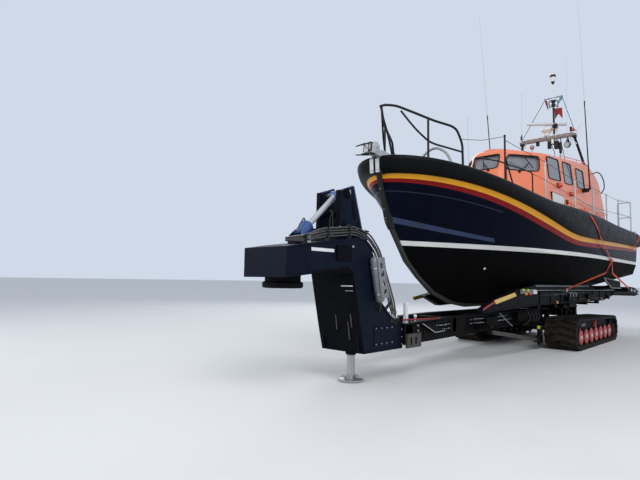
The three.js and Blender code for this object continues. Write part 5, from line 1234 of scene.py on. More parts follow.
def hose_pieces():
    made = Shape()
    for k in range(HOSES):
        shift = (k - 1.2) * HOSE_STEP
        path = []
        for i, (x, z) in enumerate(HOSE_PATH):
            before, after = HOSE_PATH[max(0, i - 1)], HOSE_PATH[min(len(HOSE_PATH) - 1, i + 1)]
            along = (Vector(after) - Vector(before)).normalized()
            lift = shift if i > 1 else shift * (0.3 + 0.35 * i)
            y = HOSE_Y + 0.012 * (k % 2) + 0.006 * math.sin(2.1 * i + k)
            path.append((x + along.y * lift, y, z - along.x * lift))
        path.append((path[-1][0] - 0.03, HOSE_Y + 0.02, 1.22 - 0.03 * k))
        made.tube(path, HOSE_RADIUS, "hose", 10, 0.12)
        end = Vector(path[-1])
        nut, sleeve = end - Vector((0.01, 0, 0.06)), end - Vector((0.012, 0, 0.12))
        made.tube([end, nut], 0.024, "steel", 8)
        made.tube([nut, sleeve], 0.03, "black", 12)
        made.tube([sleeve, (13.42 - 0.04 * k, HOSE_Y - 0.04, 1.06)], 0.014, "hose", 8)
    # Clips along the top and the back of the neck.
    made.blocks("black", *((x - 0.02, x + 0.02, HOSE_Y - 0.03, HOSE_Y + 0.035, z - 0.02, z + tall)
                           for x, z, tall in ((15.97, 2.42, 0.13), (15.45, 2.49, 0.22), (14.90, 2.56, 0.24))))
    for x, z in ((14.13, 2.24), (14.01, 1.97), (13.88, 1.70), (13.76, 1.45)):
        made.plate([(x + 0.09, z - 0.13), (x - 0.13, z + 0.02), (x - 0.15, z - 0.01), (x + 0.07, z - 0.16)],
                   HOSE_Y - 0.02, HOSE_Y + 0.03, "black")
    # Connector block at the foot.
    made.blocks("black", (13.40, 13.70, 0.40, 0.50, 1.06, 1.14))
    for x in (13.46, 13.56, 13.66):
        made.lathe((x, 0.46, 1.13), UP, [(0, 0.03), (0.05, 0.03), (0.06, 0.018), (0.14, 0.018)], "steel", 12)
    made.done("neck_hoses", CARRIAGE, "black_fittings", crease=50)

    top, foot = Vector((14.33, 0.575, 2.27)), Vector((14.12, 0.575, 1.45))
    axis = foot - top
    length = axis.length
    made = Shape().lathe(top, axis, [
        (0, 0.015), (0.015, 0.05), (0.05, 0.078), (0.10, 0.086), (length - 0.10, 0.086),
        (length - 0.05, 0.078), (length - 0.015, 0.05), (length, 0.015)], "tank", 32)
    for band in (top + axis * 0.22, top + axis * 0.78):
        made.lathe(band, axis, [(0, 0.088), (0.002, 0.091), (0.028, 0.091), (0.03, 0.088)], "steel", 32)
        made.blocks("steel", (band.x - 0.03, band.x + 0.03, 0.47, 0.55, band.z - 0.015, band.z + 0.015))
    made.tube([top, top + Vector((0.01, -0.01, 0.05)), top + Vector((-0.02, -0.06, 0.09))],
              0.014, "steel", 8, 0.03)
    made.tube([foot, foot - Vector((0.01, 0, 0.05)), foot - Vector((0.08, 0.08, 0.16))],
              0.014, "hose", 8, 0.03)
    made.done("neck_tank", CARRIAGE, "bare_metal", crease=50)

    plate = Shape().plate([(14.37, 2.25), (14.15, 2.27), (13.98, 1.54), (14.23, 1.54)], 0.665, 0.675, "tank")
    guard = plate.done("neck_hose_guard", CARRIAGE, "bare_metal", bevel=0.002)
    holes = [Shape().plate([(x + 0.035, z + 0.045), (x - 0.045, z + 0.05), (x - 0.035, z - 0.045),
                            (x + 0.045, z - 0.05)], 0.65, 0.70, "steel")
             for x, z in ((14.24, 2.12), (14.20, 1.97), (14.16, 1.80), (14.12, 1.65))]
    soften(carved(guard, holes), 35)


hose_pieces()

TOWER_IN, TOWER_OUT, TOWER_FOOT = 0.19, 0.28, 2.76
TOWER_OUTLINE = [(14.96, 2.70), (14.95, 3.43), (14.58, 3.56), (14.54, 3.54), (14.27, 2.70)]
RAM_TOP, RAM_FOOT, RAM_PIN = Vector((14.74, 0, 3.39)), Vector((15.68, 0, 2.56)), 0.045


def tower_piece():
    out, foot = TOWER_OUT, TOWER_FOOT
    made = Shape().lathe((RAM_TOP.x, out - 0.01, RAM_TOP.z), PORT, [
        (0, 0.10), (0.012, 0.10), (0.014, 0.065), (0.03, 0.062)], "neck_dark", 24)
    made.blocks("steel", (14.655, 14.695, out, out + 0.012, 3.38, 3.46))
    # Foot gussets, and a near-black sheet down each plate standing for a slot: painted shade.
    for x in (14.40, 14.80):
        made.prism([(x, out, foot), (x, out + 0.05, foot), (x, out, 2.92)], (0.02, 0, 0), "blue")
    made.plate([(14.64, 3.30), (14.54, 3.30), (14.48, 2.94), (14.58, 2.94)], out - 0.02, out - 0.006,
               "neck_dark")
    made.doubled()
    # Rims painted lighter blue as painted highlight, with the front edge near-black as painted shade.
    for low, high in ((TOWER_IN, out), (-out, -TOWER_IN)):
        edged_plate(made, TOWER_OUTLINE, low, high, 0.008, 0.028, "blue", "edge_blue", (0,))
    made.heads([(x, y, foot) for x in (14.24, 14.52, 14.70, 14.98) for y in (out + 0.04, -out - 0.04)], UP,
               0.018, 0.018, 0.016, sides=6)
    made.blocks("blue", (14.20, 15.05, -out - 0.04, out + 0.04, 2.50, foot))
    made.blocks("neck_dark", (14.17, 15.06, -out - 0.06, out + 0.06, 2.735, 2.762))
    # The ram's pin, a cross-tube, and a plate with two pipes between the plates.
    for x, z, reach, radius, paint, sides in ((RAM_TOP.x, RAM_TOP.z, 0.02, RAM_PIN, "steel", 20),
                                              (14.62, 3.05, 0.01, 0.04, "blue", 16)):
        made.tube([(x, -TOWER_IN - reach, z), (x, TOWER_IN + reach, z)], radius, paint, sides)
    made.blocks("steel", (14.58, 14.78, -TOWER_IN - 0.01, TOWER_IN + 0.01, foot, 2.80))
    made.tubes([[(14.86, 0.05, foot), (14.86, 0.05, 3.0), (14.84, -0.03, 3.12)],
                [(14.83, -0.05, foot), (14.83, -0.05, 2.98), (14.83, 0.04, 3.08)]], 0.012, "strut", 8, 0.05)
    made.done("neck_tower_plates", CARRIAGE, "neck_paint", ["neck_tower"], bevel=0.004)


tower_piece()


def ram_piece():
    axis = RAM_FOOT - RAM_TOP
    along, length = axis.normalized(), axis.length
    barrel = length * 0.72
    made = Shape().tube([RAM_TOP, RAM_TOP + axis * 0.76], 0.052, "rod_grey", 24)
    made.lathe(RAM_TOP, axis, [
        (barrel, 0.055), (barrel + 0.004, 0.075), (barrel + 0.035, 0.08), (barrel + 0.04, 0.112),
        (barrel + 0.05, 0.12), (barrel + 0.09, 0.12), (barrel + 0.095, 0.112), (length - 0.06, 0.112),
        (length - 0.05, 0.12), (length - 0.01, 0.12), (length, 0.09)], "ram_blue", 36)
    port = Vector(PORT)
    spots = circle(RAM_TOP + along * (barrel + 0.03), port, along.cross(port), 0.098, 8)
    made.tubes([[spot, spot + along * 0.022] for spot in spots], 0.010, "steel", 6)
    # Eye on the tower's pin, a pipe, and the bracket on the arm.
    eye = RAM_PIN + 0.004
    made.lathe((RAM_TOP.x, -0.088, RAM_TOP.z), PORT, [
        (0, eye), (0.001, 0.074), (0.008, 0.080), (0.168, 0.080), (0.175, 0.074), (0.176, eye)],
        "ram_blue", 32)
    start = RAM_TOP + axis * 0.80
    made.tube([start + Vector((0.02, 0, 0.10)), start + Vector((0.05, 0, 0.17)),
               RAM_FOOT + Vector((0.02, 0.04, 0.18)), RAM_FOOT + Vector((0.10, 0.10, -0.05))],
              0.012, "hose", 8, 0.04)
    for low in (0.065, -0.09):
        made.plate([(15.83, 2.42), (15.80, 2.58), (15.70, 2.66), (15.60, 2.62), (15.53, 2.46)],
                   low, low + 0.025, "blue")
    made.tube([(RAM_FOOT.x, y, RAM_FOOT.z + 0.01) for y in (-0.11, 0.11)], 0.035, "steel", 20)
    made.blocks("blue", (15.53, 15.83, -0.09, 0.09, 2.41, 2.47))
    made.done("neck_ram_cylinder", CARRIAGE, "bare_metal", ["neck_ram"], bevel=0.003, crease=40)

    jack = Shape().lathe((JACK_X, 0, 0), UP, [
        (0, 0.20), (0.01, 0.235), (0.045, 0.238), (0.06, 0.20), (0.07, 0.11), (0.078, 0.09), (0.084, 0.0725),
        (0.47, 0.072)], "steel", 40)
    base = Vector((JACK_X, 0, 0.055))
    for c, s in around(6):
        out, side = Vector((c, s, 0)), Vector((-s, c, 0)) * 0.007
        near, far = base + out * 0.115 - side, base + out * 0.21 - side
        jack.prism([near, far, near + Vector((0, 0, 0.065))], side * 2, "steel")
    jack.lathe((JACK_X, 0, 0.46), UP, [(0, 0.0745), (0.58, 0.0745)], "bright", 28)
    jack.done("jack_leg_and_foot", "jack", "bare_metal", ["parking_jack"])


ram_piece()

# Chassis of the carriage
CHASSIS_TOP, CHASSIS_LOW, CHASSIS_HALF, CHASSIS_FRONT = 1.0897, 0.72, 0.56, 13.30
BEAM_DEPTH, OPEN_BEAM_START, OPEN_BEAM_END = 0.18, 2.05, 5.75
# The blocks ahead of the tracks, from side to side.
BLOCK_IN, BLOCK_OUT = 0.85, 0.95
TURN_X, AXLE_X, TRACK_IN, TRACK_OUT = 4.40, 4.45, 0.98, 1.82


def chassis_piece():
    top, low, half, inside, front = CHASSIS_TOP, CHASSIS_LOW, CHASSIS_HALF, CHASSIS_HALF - 0.02, CHASSIS_FRONT
    middle = half - BEAM_DEPTH / 2
    made = Shape()
    edged_plate(made, [(OPEN_BEAM_END, low), (front, low - 0.10), (front, top - 0.06), (10.8, top),
                       (OPEN_BEAM_END, top)], half - BEAM_DEPTH, half, 0.02, 0.035, "chassis", "chassis")
    # Open framing over the tracks: chords, uprights and crossed flats.
    made.blocks("chassis", (OPEN_BEAM_START, OPEN_BEAM_END, half - BEAM_DEPTH, half, top - 0.055, top),
                (OPEN_BEAM_START, OPEN_BEAM_END, half - BEAM_DEPTH, half, low, low + 0.055),
                *((x, x + 0.08, 0.40, 0.54, low, top) for x in (OPEN_BEAM_START, 3.10, 3.70, 5.02, 5.60)))
    made.tubes([[(x0, middle, low + 0.03), (x1, middle, top - 0.03)]
                for x0, x1 in ((2.13, 3.10), (3.78, 4.40), (5.02, 4.40))], 0.022, "chassis")
    # Stiffeners, service boxes and clipped pipes along the side.
    made.blocks("chassis", (7.25, 7.95, 0.54, 0.68, 0.80, 1.05), (9.2, 9.85, 0.54, 0.64, 0.78, 1.0),
                *((x, x + 0.016, 0.535, 0.558, low - 0.02, top - 0.05)
                  for x in (6.4, 7.5, 8.05, 9.1, 9.9, 10.7, 11.5, 12.6)))
    for z, x0, x1 in ((0.985, 10.6, 8.5), (0.89, 10.6, 8.2), (0.94, 12.2, 11.6), (0.85, 12.0, 11.6)):
        halfway = (x0 + x1) / 2
        made.tube([(x0, 0.585, z), (halfway, 0.59, z - 0.012), (x1, 0.585, z)], 0.013, "steel", 8)
        made.blocks("black", *((x - 0.02, x + 0.02, 0.55, 0.61, z - 0.02, z + 0.02)
                               for x in (x0 - 0.1, halfway, x1 + 0.1)))
    made.tube([(8.98, 0.60, 1.07), (8.56, 0.61, 0.86), (8.15, 0.60, 0.69)], 0.014, "steel", 8)
    made.tubes([[(x, 0.57, 1.06), (x - 0.1, 0.64, 0.86), (x + 0.12, 0.62, 0.72), (x + 0.3, 0.57, 0.66)]
                for x in (6.2 + i * 0.26 for i in range(4))], 0.014, "hose", 8, 0.08)
    made.lathe((7.03, 0.56, 0.46), PORT, [(0, 0.03), (0.05, 0.03), (0.06, 0.02)], "bare_strip", 14)
    # Front end: bracket with two slots drawn as near-black sheets (painted shade), sloping guard, red bar,
    # white post, ball and bolts.
    made.blocks("strut", (12.78, front - 0.02, 0.555, 0.60, 0.56, 0.83))
    made.blocks("neck_dark", *((x, x + 0.05, 0.598, 0.603, 0.62, 0.76) for x in (12.95, 13.12)))
    guard = [(12.73, 1.00), (12.26, 0.80), (11.86, 0.81), (12.35, 1.00)]
    made.plate(guard, 0.56, 0.61, "chassis")
    made.tube([(x, 0.612, z) for x, z in guard[:3]], 0.012, "steel", 8)
    made.tube([(13.40, 0.57, 1.105), (12.0, 0.57, 1.075)], 0.016, "red_strip", 12)
    made.tubes([[(x, 0.55, 1.0), (x, 0.57, 1.10)] for x in (13.15, 12.1)], 0.012, "chassis")
    made.blocks("bare_strip", (13.16, 13.25, 0.48, 0.54, top - 0.07, 1.43))
    made.lathe((12.88, 0.52, 1.05), UP, [(0, 0.015), (0.07, 0.015), (0.08, 0.03), (0.105, 0.036),
                                         (0.13, 0.03), (0.14, 0.01)], "bare_strip", 16)
    made.heads([(12.86, 0.555, z) for z in (0.97, 0.87)], PORT, 0.022, 0.03, 0.02, sides=10)
    # Struts down to the blocks ahead of the tracks.
    made.tube([(10.25, 0.90, 0.70), (7.27, 0.90, 0.30)], 0.052, "strut", 20)
    made.blocks("chassis", (10.18, 10.32, inside, BLOCK_OUT, 0.74, 0.86),
                (10.19, 10.31, BLOCK_IN, BLOCK_OUT, 0.64, 0.78), (6.87, 7.03, inside, BLOCK_OUT, 0.62, 0.76),
                (6.87, 7.03, BLOCK_IN, BLOCK_OUT, 0.13, 0.72), (6.95, 7.33, BLOCK_IN, BLOCK_OUT, 0.23, 0.37))
    made.heads([(x, 0.945, z) for x in (6.905, 6.995) for z in (0.16, 0.42, 0.52, 0.64)], PORT,
               0.014, 0.012, 0.012)
    made.blocks("lamp_yellow", (7.02, 7.045, 0.86, 0.94, 0.57, 0.66))
    made.doubled()
    # Cross-members, turntable bed, axle beam and front plate.
    reach = TRACK_IN - 0.04
    made.blocks("chassis", *((x, x + 0.16, -inside, inside, low + 0.03, top - 0.04)
                             for x in (OPEN_BEAM_START, 3.10, 5.60, 7.20, 9.30, 11.20)),
                (TURN_X - 0.70, TURN_X + 0.70, -half, half, top - 0.06, top),
                (AXLE_X - 0.16, AXLE_X + 0.16, -reach, reach, 0.33, low + 0.02),
                (front - 0.30, front, -inside, inside, low - 0.06, top - 0.08))
    made.done("chassis_frame", CARRIAGE, "carriage_paint", ["chassis"], bevel=0.005, crease=30, segments=1)


chassis_piece()

# Cradle
RAIL_Y, RAIL_TOP, RAIL_HALF, CRADLE_LOW = 1.0, 1.80, 0.08, 1.13
# The side rail's outline from its tail. The long nose ahead of NOSE_X is on the port side only.
RAIL_OUTLINE = [
    (-1.30, 1.60), (-1.30, RAIL_TOP), (7.70, RAIL_TOP), (8.90, 1.69), (10.10, 1.47), (11.02, 1.25),
    (11.00, 1.17), (9.30, 1.20), (7.60, 1.25), (0.60, 1.25), (-0.90, 1.42),
]
NOSE_X = 11
TAIL_IN, TAIL_OUT = 1.50, 1.56
TAIL_ARM = [(-1.20, 1.59), (-1.20, 1.79), (-2.40, 1.74), (-3.20, 1.59), (-3.20, 1.42), (-2.40, 1.50)]
PLATE_CORNERS = [(10.43, 1.44), (9.22, 1.61), (9.11, 1.52), (10.35, 1.35)]
TAIL_ROLLERS = (("front", -1.78, 1.64), ("middle", -2.40, 1.60), ("rear", -3.02, 1.51))
ROLLER_RIBS = 15


def cradle_piece():
    face = RAIL_Y + 0.095
    made = Shape()
    # Rail edges, pipes and stiffeners.
    made.blocks("rail_grey", (2.6, 7.75, RAIL_Y, face, 1.755, RAIL_TOP + 0.004))
    made.tubes([[(7.6, face, 1.66), (-1.25, face, 1.63)], [(-1.15, 1.50, 1.63), (-2.1, 1.58, 1.61)]],
               0.012, "rail_light")
    made.blocks("cradle", (-1.25, 7.6, 1.075, 1.09, 1.60, 1.615),
                *((x, x + 0.014, 1.05, 1.082, 1.29 if x > 0 else 1.42, 1.60)
                  for x in (-0.7 + i * 0.9 for i in range(10))))
    # Valve boxes, lines and marker lamps under the rail.
    made.blocks("chassis", (4.3, 5.1, 1.07, 1.16, 1.30, 1.46), (2.2, 2.9, 1.07, 1.15, 1.33, 1.50))
    for i in range(5):
        x = 4.35 + i * 0.16
        made.tube([(x, 1.15, 1.44), (x - 0.08, 1.17, 1.52), (x - 0.05, 1.10, 1.60)], 0.011,
                  "hose" if i % 2 else "steel", 8, 0.05)
    made.tubes([[(x0, face, z), (x1, face, z)]
                for z, x0, x1 in ((1.52, 7.4, 5.1), (1.56, 7.4, 3.0), (1.36, 4.3, 0.8))], 0.010, "hose")
    made.blocks("lamp_amber", *((x - 0.03, x + 0.03, 1.06, 1.11, 1.26, 1.34) for x in (0.9, 2.7, 6.0)))
    made.blocks("black", (-0.24, -0.06, 1.06, 1.12, 1.29, 1.44))
    made.blocks("lamp_orange", (-0.21, -0.09, 1.12, 1.135, 1.30, 1.36))
    # Lamp board and blank number plate on the sloping front.
    made.blocks("rail_grey", (7.78, 8.84, 1.075, 1.10, 1.57, 1.69))
    made.blocks("bare_strip", (7.72, 7.98, 1.08, 1.115, 1.56, 1.67))
    for x, z, paint in ((8.22, 1.57, "lamp_red_lit"), (8.51, 1.57, "lamp_orange"),
                        (8.70, 1.67, "lamp_yellow"), (8.38, 1.66, "lamp_yellow")):
        made.lathe((x, 1.09, z), PORT, [(0, 0.034), (0.02, 0.038), (0.04, 0.034), (0.05, 0.02)], paint, 20)
    made.plate(PLATE_CORNERS, 1.082, 1.098, "plate_yellow")
    # Lug of the lashing straps.
    made.blocks("steel", (5.36, 5.46, 1.08, 1.20, 1.60, 1.68))
    # Bilge arm beside the hull, with its edge strip and struts.
    arm = [(2.70, 2.08), (0.37, 1.97), (0.25, 1.72), (1.65, 1.73)]
    made.plate(arm, 1.53, 1.59, "cradle")
    made.tube([(x, 1.59, z) for x, z in arm], 0.014, "rail_light", 8, closed=True)
    made.tubes([[(x, 1.04, 1.70), (x, 1.55, 1.80)] for x in (0.7, 1.5)], 0.05, "cradle", 14)
    # Tail arm with the rollers' end bolts.
    edged_plate(made, TAIL_ARM, TAIL_IN, TAIL_OUT, 0.006, 0.025, "cradle", "cradle")
    for _, x, z in TAIL_ROLLERS:
        made.lathe((x, TAIL_OUT, z), PORT, [(0, 0.06), (0.02, 0.055), (0.03, 0.03)], "steel", 18)
    feet = (1.2, 2.7, 6.0, 7.4)
    made.blocks("cradle", *((x, x + 0.14, RAIL_Y - 0.07, RAIL_Y + 0.07, CRADLE_LOW + 0.02, 1.30)
                            for x in feet),
                (TURN_X - 0.30, TURN_X + 0.30, RAIL_Y - 0.06, RAIL_Y + 0.06, CRADLE_LOW + 0.01, 1.30))
    made.doubled()
    for side, outline in ((1, RAIL_OUTLINE), (-1, [spot for spot in RAIL_OUTLINE if spot[0] < NOSE_X])):
        edged_plate(made, outline, side * RAIL_Y - RAIL_HALF, side * RAIL_Y + RAIL_HALF, 0.022, 0.03,
                    "cradle", "cradle")
    made.plate([(11.03, 1.27), (10.12, 1.50), (10.10, 1.455), (11.02, 1.225)], 1.082, 1.094, "red_strip")
    # Cross-members and turntable between the rails.
    made.blocks("cradle", *((x, x + 0.14, -RAIL_Y, RAIL_Y, CRADLE_LOW + 0.02, 1.205) for x in feet),
                (TURN_X - 0.64, TURN_X + 0.64, -RAIL_Y, RAIL_Y, CRADLE_LOW + 0.01, 1.20),
                (-1.32, -1.14, -TAIL_OUT, TAIL_OUT, 1.59, 1.76))
    made.lathe((TURN_X, 0, 1.0902), UP, [(0, 0.57), (0.002, 0.61), (0.02, 0.62), (0.05, 0.62),
                                         (0.055, 0.59), (0.08, 0.59)], "steel", 64)
    made.tubes([[(x, -0.16, 1.165), (x, 0.16, 1.165)] for x in (1.9, 3.3, 5.5, 6.8)], 0.034, "roller", 16)
    made.done("cradle_frame", BOAT, "carriage_paint", ["cradle"], bevel=0.005, crease=30, segments=1)


cradle_piece()


def tail_rollers():
    """Ribbed rubber rollers that reach from arm to arm."""
    half = TAIL_IN - 0.0003
    width = 2 * half
    reach = (width - 0.04) / ROLLER_RIBS
    profile = [(0, 0.05), (0.001, 0.112), (0.012, 0.124)]
    for start in (0.02 + i * reach for i in range(ROLLER_RIBS)):
        profile += [(start + 0.004, 0.129), (start + reach - 0.02, 0.129), (start + reach - 0.012, 0.121),
                    (start + reach - 0.004, 0.121)]
    profile += [(width - 0.012, 0.124), (width - 0.001, 0.112), (width, 0.05)]
    for which, x, z in TAIL_ROLLERS:
        roller = Shape().lathe((x, -half, z), PORT, profile, "roller", 28)
        roller.done(f"tail_roller_{which}_rubber", BOAT, "fender_rubber", [f"tail_roller_{which}"], crease=40)


tail_rollers()

# Bogies: black frames with red-rimmed road wheels
ROAD_WHEELS, ROAD_FIRST, ROAD_PITCH, ROAD_RADIUS = 7, 2.84, 0.54, 0.225
ROAD_Z = 0.1 + 0.0003 + ROAD_RADIUS
# Where the inner and the outer wheels start, and the frame's sides.
WHEEL_IN, WHEEL_OUT, FRAME_IN, FRAME_OUT = 1.12, 1.49, 1.34, 1.46
# Columns: X, Z, radius.
END_WHEELS = ((6.44, 0.455, 0.343), (2.47, 0.41, 0.298))
# Short red arcs of paint on the end wheels: how many, first angle, step and length in degrees.
ARCS, ARC_FIRST, ARC_STEP, ARC_LONG = 5, 150, 16, 14


def bogie_pieces():
    (fore_x, *_), (aft_x, *_) = END_WHEELS
    made = Shape().blocks("belt", (2.80, 6.10, 1.33, 1.47, 0.48, 0.68),
                          (AXLE_X - 0.15, AXLE_X + 0.15, 0.9403, 1.40, 0.35, 0.64),
                          (aft_x - 0.04, 2.86, FRAME_IN, FRAME_OUT, 0.38, 0.60),
                          (6.00, fore_x + 0.04, FRAME_IN, FRAME_OUT, 0.40, 0.60),
                          *((x, x + 0.06, 1.45, 1.62, 0.55, 0.66) for x in (3.3, 5.4)))
    # Guard plate over the wheels, set back from the belt's edge, and a red strut over the axle.
    made.plate([(6.02, 0.50), (6.02, 0.76), (5.6, 0.79), (2.95, 0.70), (2.83, 0.64), (2.83, 0.50)],
               1.60, 1.65, "belt")
    made.blocks("rail_grey", (5.35, 5.75, 1.648, 1.665, 0.62, 0.70))
    made.plate([(AXLE_X - 0.06, 0.46), (AXLE_X + 0.06, 0.46), (AXLE_X + 0.035, 0.74),
                (AXLE_X - 0.035, 0.74)], 1.65, 1.72, "wheel")
    r = ROAD_RADIUS
    for x in (ROAD_FIRST + i * ROAD_PITCH for i in range(ROAD_WHEELS)):
        for y, paint, sides, profile in (
                (WHEEL_IN, "belt", 28, [(0, 0.14), (0.004, r - 0.012), (0.012, r), (0.205, r),
                                        (0.215, r - 0.02)]),
                (WHEEL_OUT, "belt", 28, [(0, r - 0.02), (0.01, r), (0.225, r), (0.235, r - 0.008)]),
                (1.725, "wheel", 28, [(0, r - 0.010), (0.008, r - 0.022), (0.016, r - 0.03), (0.016, 0.145)]),
                (1.738, "hub", 24, [(0, 0.158), (0.002, 0.15), (-0.012, 0.12), (-0.008, 0.075),
                                    (0.012, 0.06), (0.018, 0.03)])):
            made.lathe((x, y, ROAD_Z), PORT, profile, paint, sides)
        made.tube([(x, WHEEL_IN, ROAD_Z), (x, 1.74, ROAD_Z)], 0.05, "belt", 12)
        made.blocks("belt", (x - 0.05, x + 0.05, FRAME_IN, FRAME_OUT, ROAD_Z - 0.04, 0.52))
    for x, z, r in END_WHEELS:
        made.lathe((x, WHEEL_IN, z), PORT, [
            (0, 0.10), (0.004, r - 0.02), (0.02, r), (0.20, r), (0.21, r - 0.03)], "belt", 40)
        made.lathe((x, WHEEL_OUT, z), PORT, [
            (0, r - 0.03), (0.01, r), (0.22, r), (0.235, r - 0.02), (0.237, r - 0.05),
            (0.20, r - 0.09), (0.19, 0.12), (0.22, 0.10), (0.235, 0.05)], "belt", 40)
        for start in (ARC_FIRST + k * ARC_STEP for k in range(ARCS)):
            (ca, sa), (cb, sb) = ((math.cos(math.radians(turn)), math.sin(math.radians(turn)))
                                  for turn in (start, start + ARC_LONG))
            made.plate([(x + reach * c, z + reach * s) for reach, c, s in (
                (r - 0.075, ca, sa), (r - 0.045, ca, sa), (r - 0.045, cb, sb), (r - 0.075, cb, sb))],
                1.718, 1.730, "wheel")
        made.tube([(x, WHEEL_IN, z), (x, 1.70, z)], 0.06, "belt", 14)
    made.one_each("bogie_wheels", "bogie", CARRIAGE, "track_rubber", bevel=0.003, segments=1)


bogie_pieces()

# Lashing straps: flat webbing, taut, from the deck over the fender and down to the cradle.
STRAP_WIDE, STRAP_THICK = 0.055, 0.006


def ribbon(made, path, faces, wide=STRAP_WIDE):
    """A flat strap along a path. faces gives the way that its flat side faces at each point."""
    rings = []
    path = [Vector(p) for p in path]
    for i, here in enumerate(path):
        along = (path[min(i + 1, len(path) - 1)] - path[max(i - 1, 0)]).normalized()
        face = Vector(faces[i])
        face = (face - along * face.dot(along)).normalized()
        across = along.cross(face) * (wide / 2)
        face *= STRAP_THICK / 2
        rings.append([here + across + face, here - across + face, here - across - face, here + across - face])
    made.rings(rings, "strap")


def strap_pieces():
    made = Shape()
    up, out, low = (0, 0.2, 1), (0, 1, 0.1), (0, 1, -0.7)
    # Over the fender, down the side to the joint, and on to the cradle's tail and rail.
    ribbon(made, [(7.05, 1.86, 3.86), (6.95, 2.00, 3.90), (6.75, 2.15, 3.84), (6.62, 2.245, 3.64),
                  (6.20, 2.278, 3.38), (5.90, 2.25, 3.20), (3.90, 2.09, 2.60)],
           [up, up, (0, 1, 0.6), out, out, out, out])
    ribbon(made, [(3.92, 2.095, 2.62), (3.35, 1.99, 2.215), (-1.22, 1.57, 1.72)], [out, low, low])
    ribbon(made, [(3.88, 2.09, 2.60), (4.15, 1.985, 2.215), (5.41, 1.18, 1.68)], [out, low, low], 0.075)
    # Stern strap from the deck over the fender.
    ribbon(made, [(0.10, 1.90, 3.80), (0.20, 2.10, 3.83), (0.45, 2.26, 3.66), (0.62, 2.28, 3.48),
                  (0.85, 2.22, 3.30), (1.25, 2.16, 3.10)], [up, up, out, out, low, out], 0.05)
    # The joint of the straps, and the pins at their lug.
    made.blocks("strap", (3.80, 4.00, 2.07, 2.11, 2.55, 2.66))
    made.tube([(5.36, 1.16, 1.66), (5.46, 1.16, 1.66)], 0.022, "bright", 12)
    made.tube([(5.38, 1.19, 1.70), (5.44, 1.13, 1.63)], 0.018, "bare_strip", 10)
    made.doubled().done("lashing_straps", BOAT, "seat_trim", crease=40)


strap_pieces()

# Rails, aerials and deck fittings
# Columns: X, top, height of the lower wire, radius of the wires ahead of the post.
RAIL_POSTS = [(8.85, 4.89, 4.41, 0.006), (7.00, 4.71, 4.21, 0.006), (5.43, 4.72, 4.13, 0.006),
              (3.85, 4.74, 4.20, 0.006), (2.10, 4.79, 4.30, 0.006), (0.06, 4.98, 4.39, 0.015)]
THIN_WIRE, RAIL_INSET, RAIL_RETURN = 0.006, 0.15, 0.42
TALL_X, TALL_INSET, TALL_TOP, TALL_WIRE, TALL_BRACE, TALL_FOOT = 10.45, 0.25, 5.24, 5.13, 4.76, 10.04
LOW_RAIL_INSET = 0.33
LOW_RAIL = [(11.39, 4.30), (11.39, 4.54), (11.33, 4.59), (10.60, 4.63), (9.88, 4.60), (9.18, 4.58),
            (9.12, 4.54), (9.12, 4.05)]


def deck_spot(x, inset):
    edge = hull_at(DECK_EDGE, x)
    return Vector((x, edge.y - inset, edge.z))


def foot_plates(made, *spots):
    for x, y, z in spots:
        made.lathe((x, y, z - 0.012), UP, [(0, 0.052), (0.018, 0.05), (0.024, 0.03)], "steel", 18)


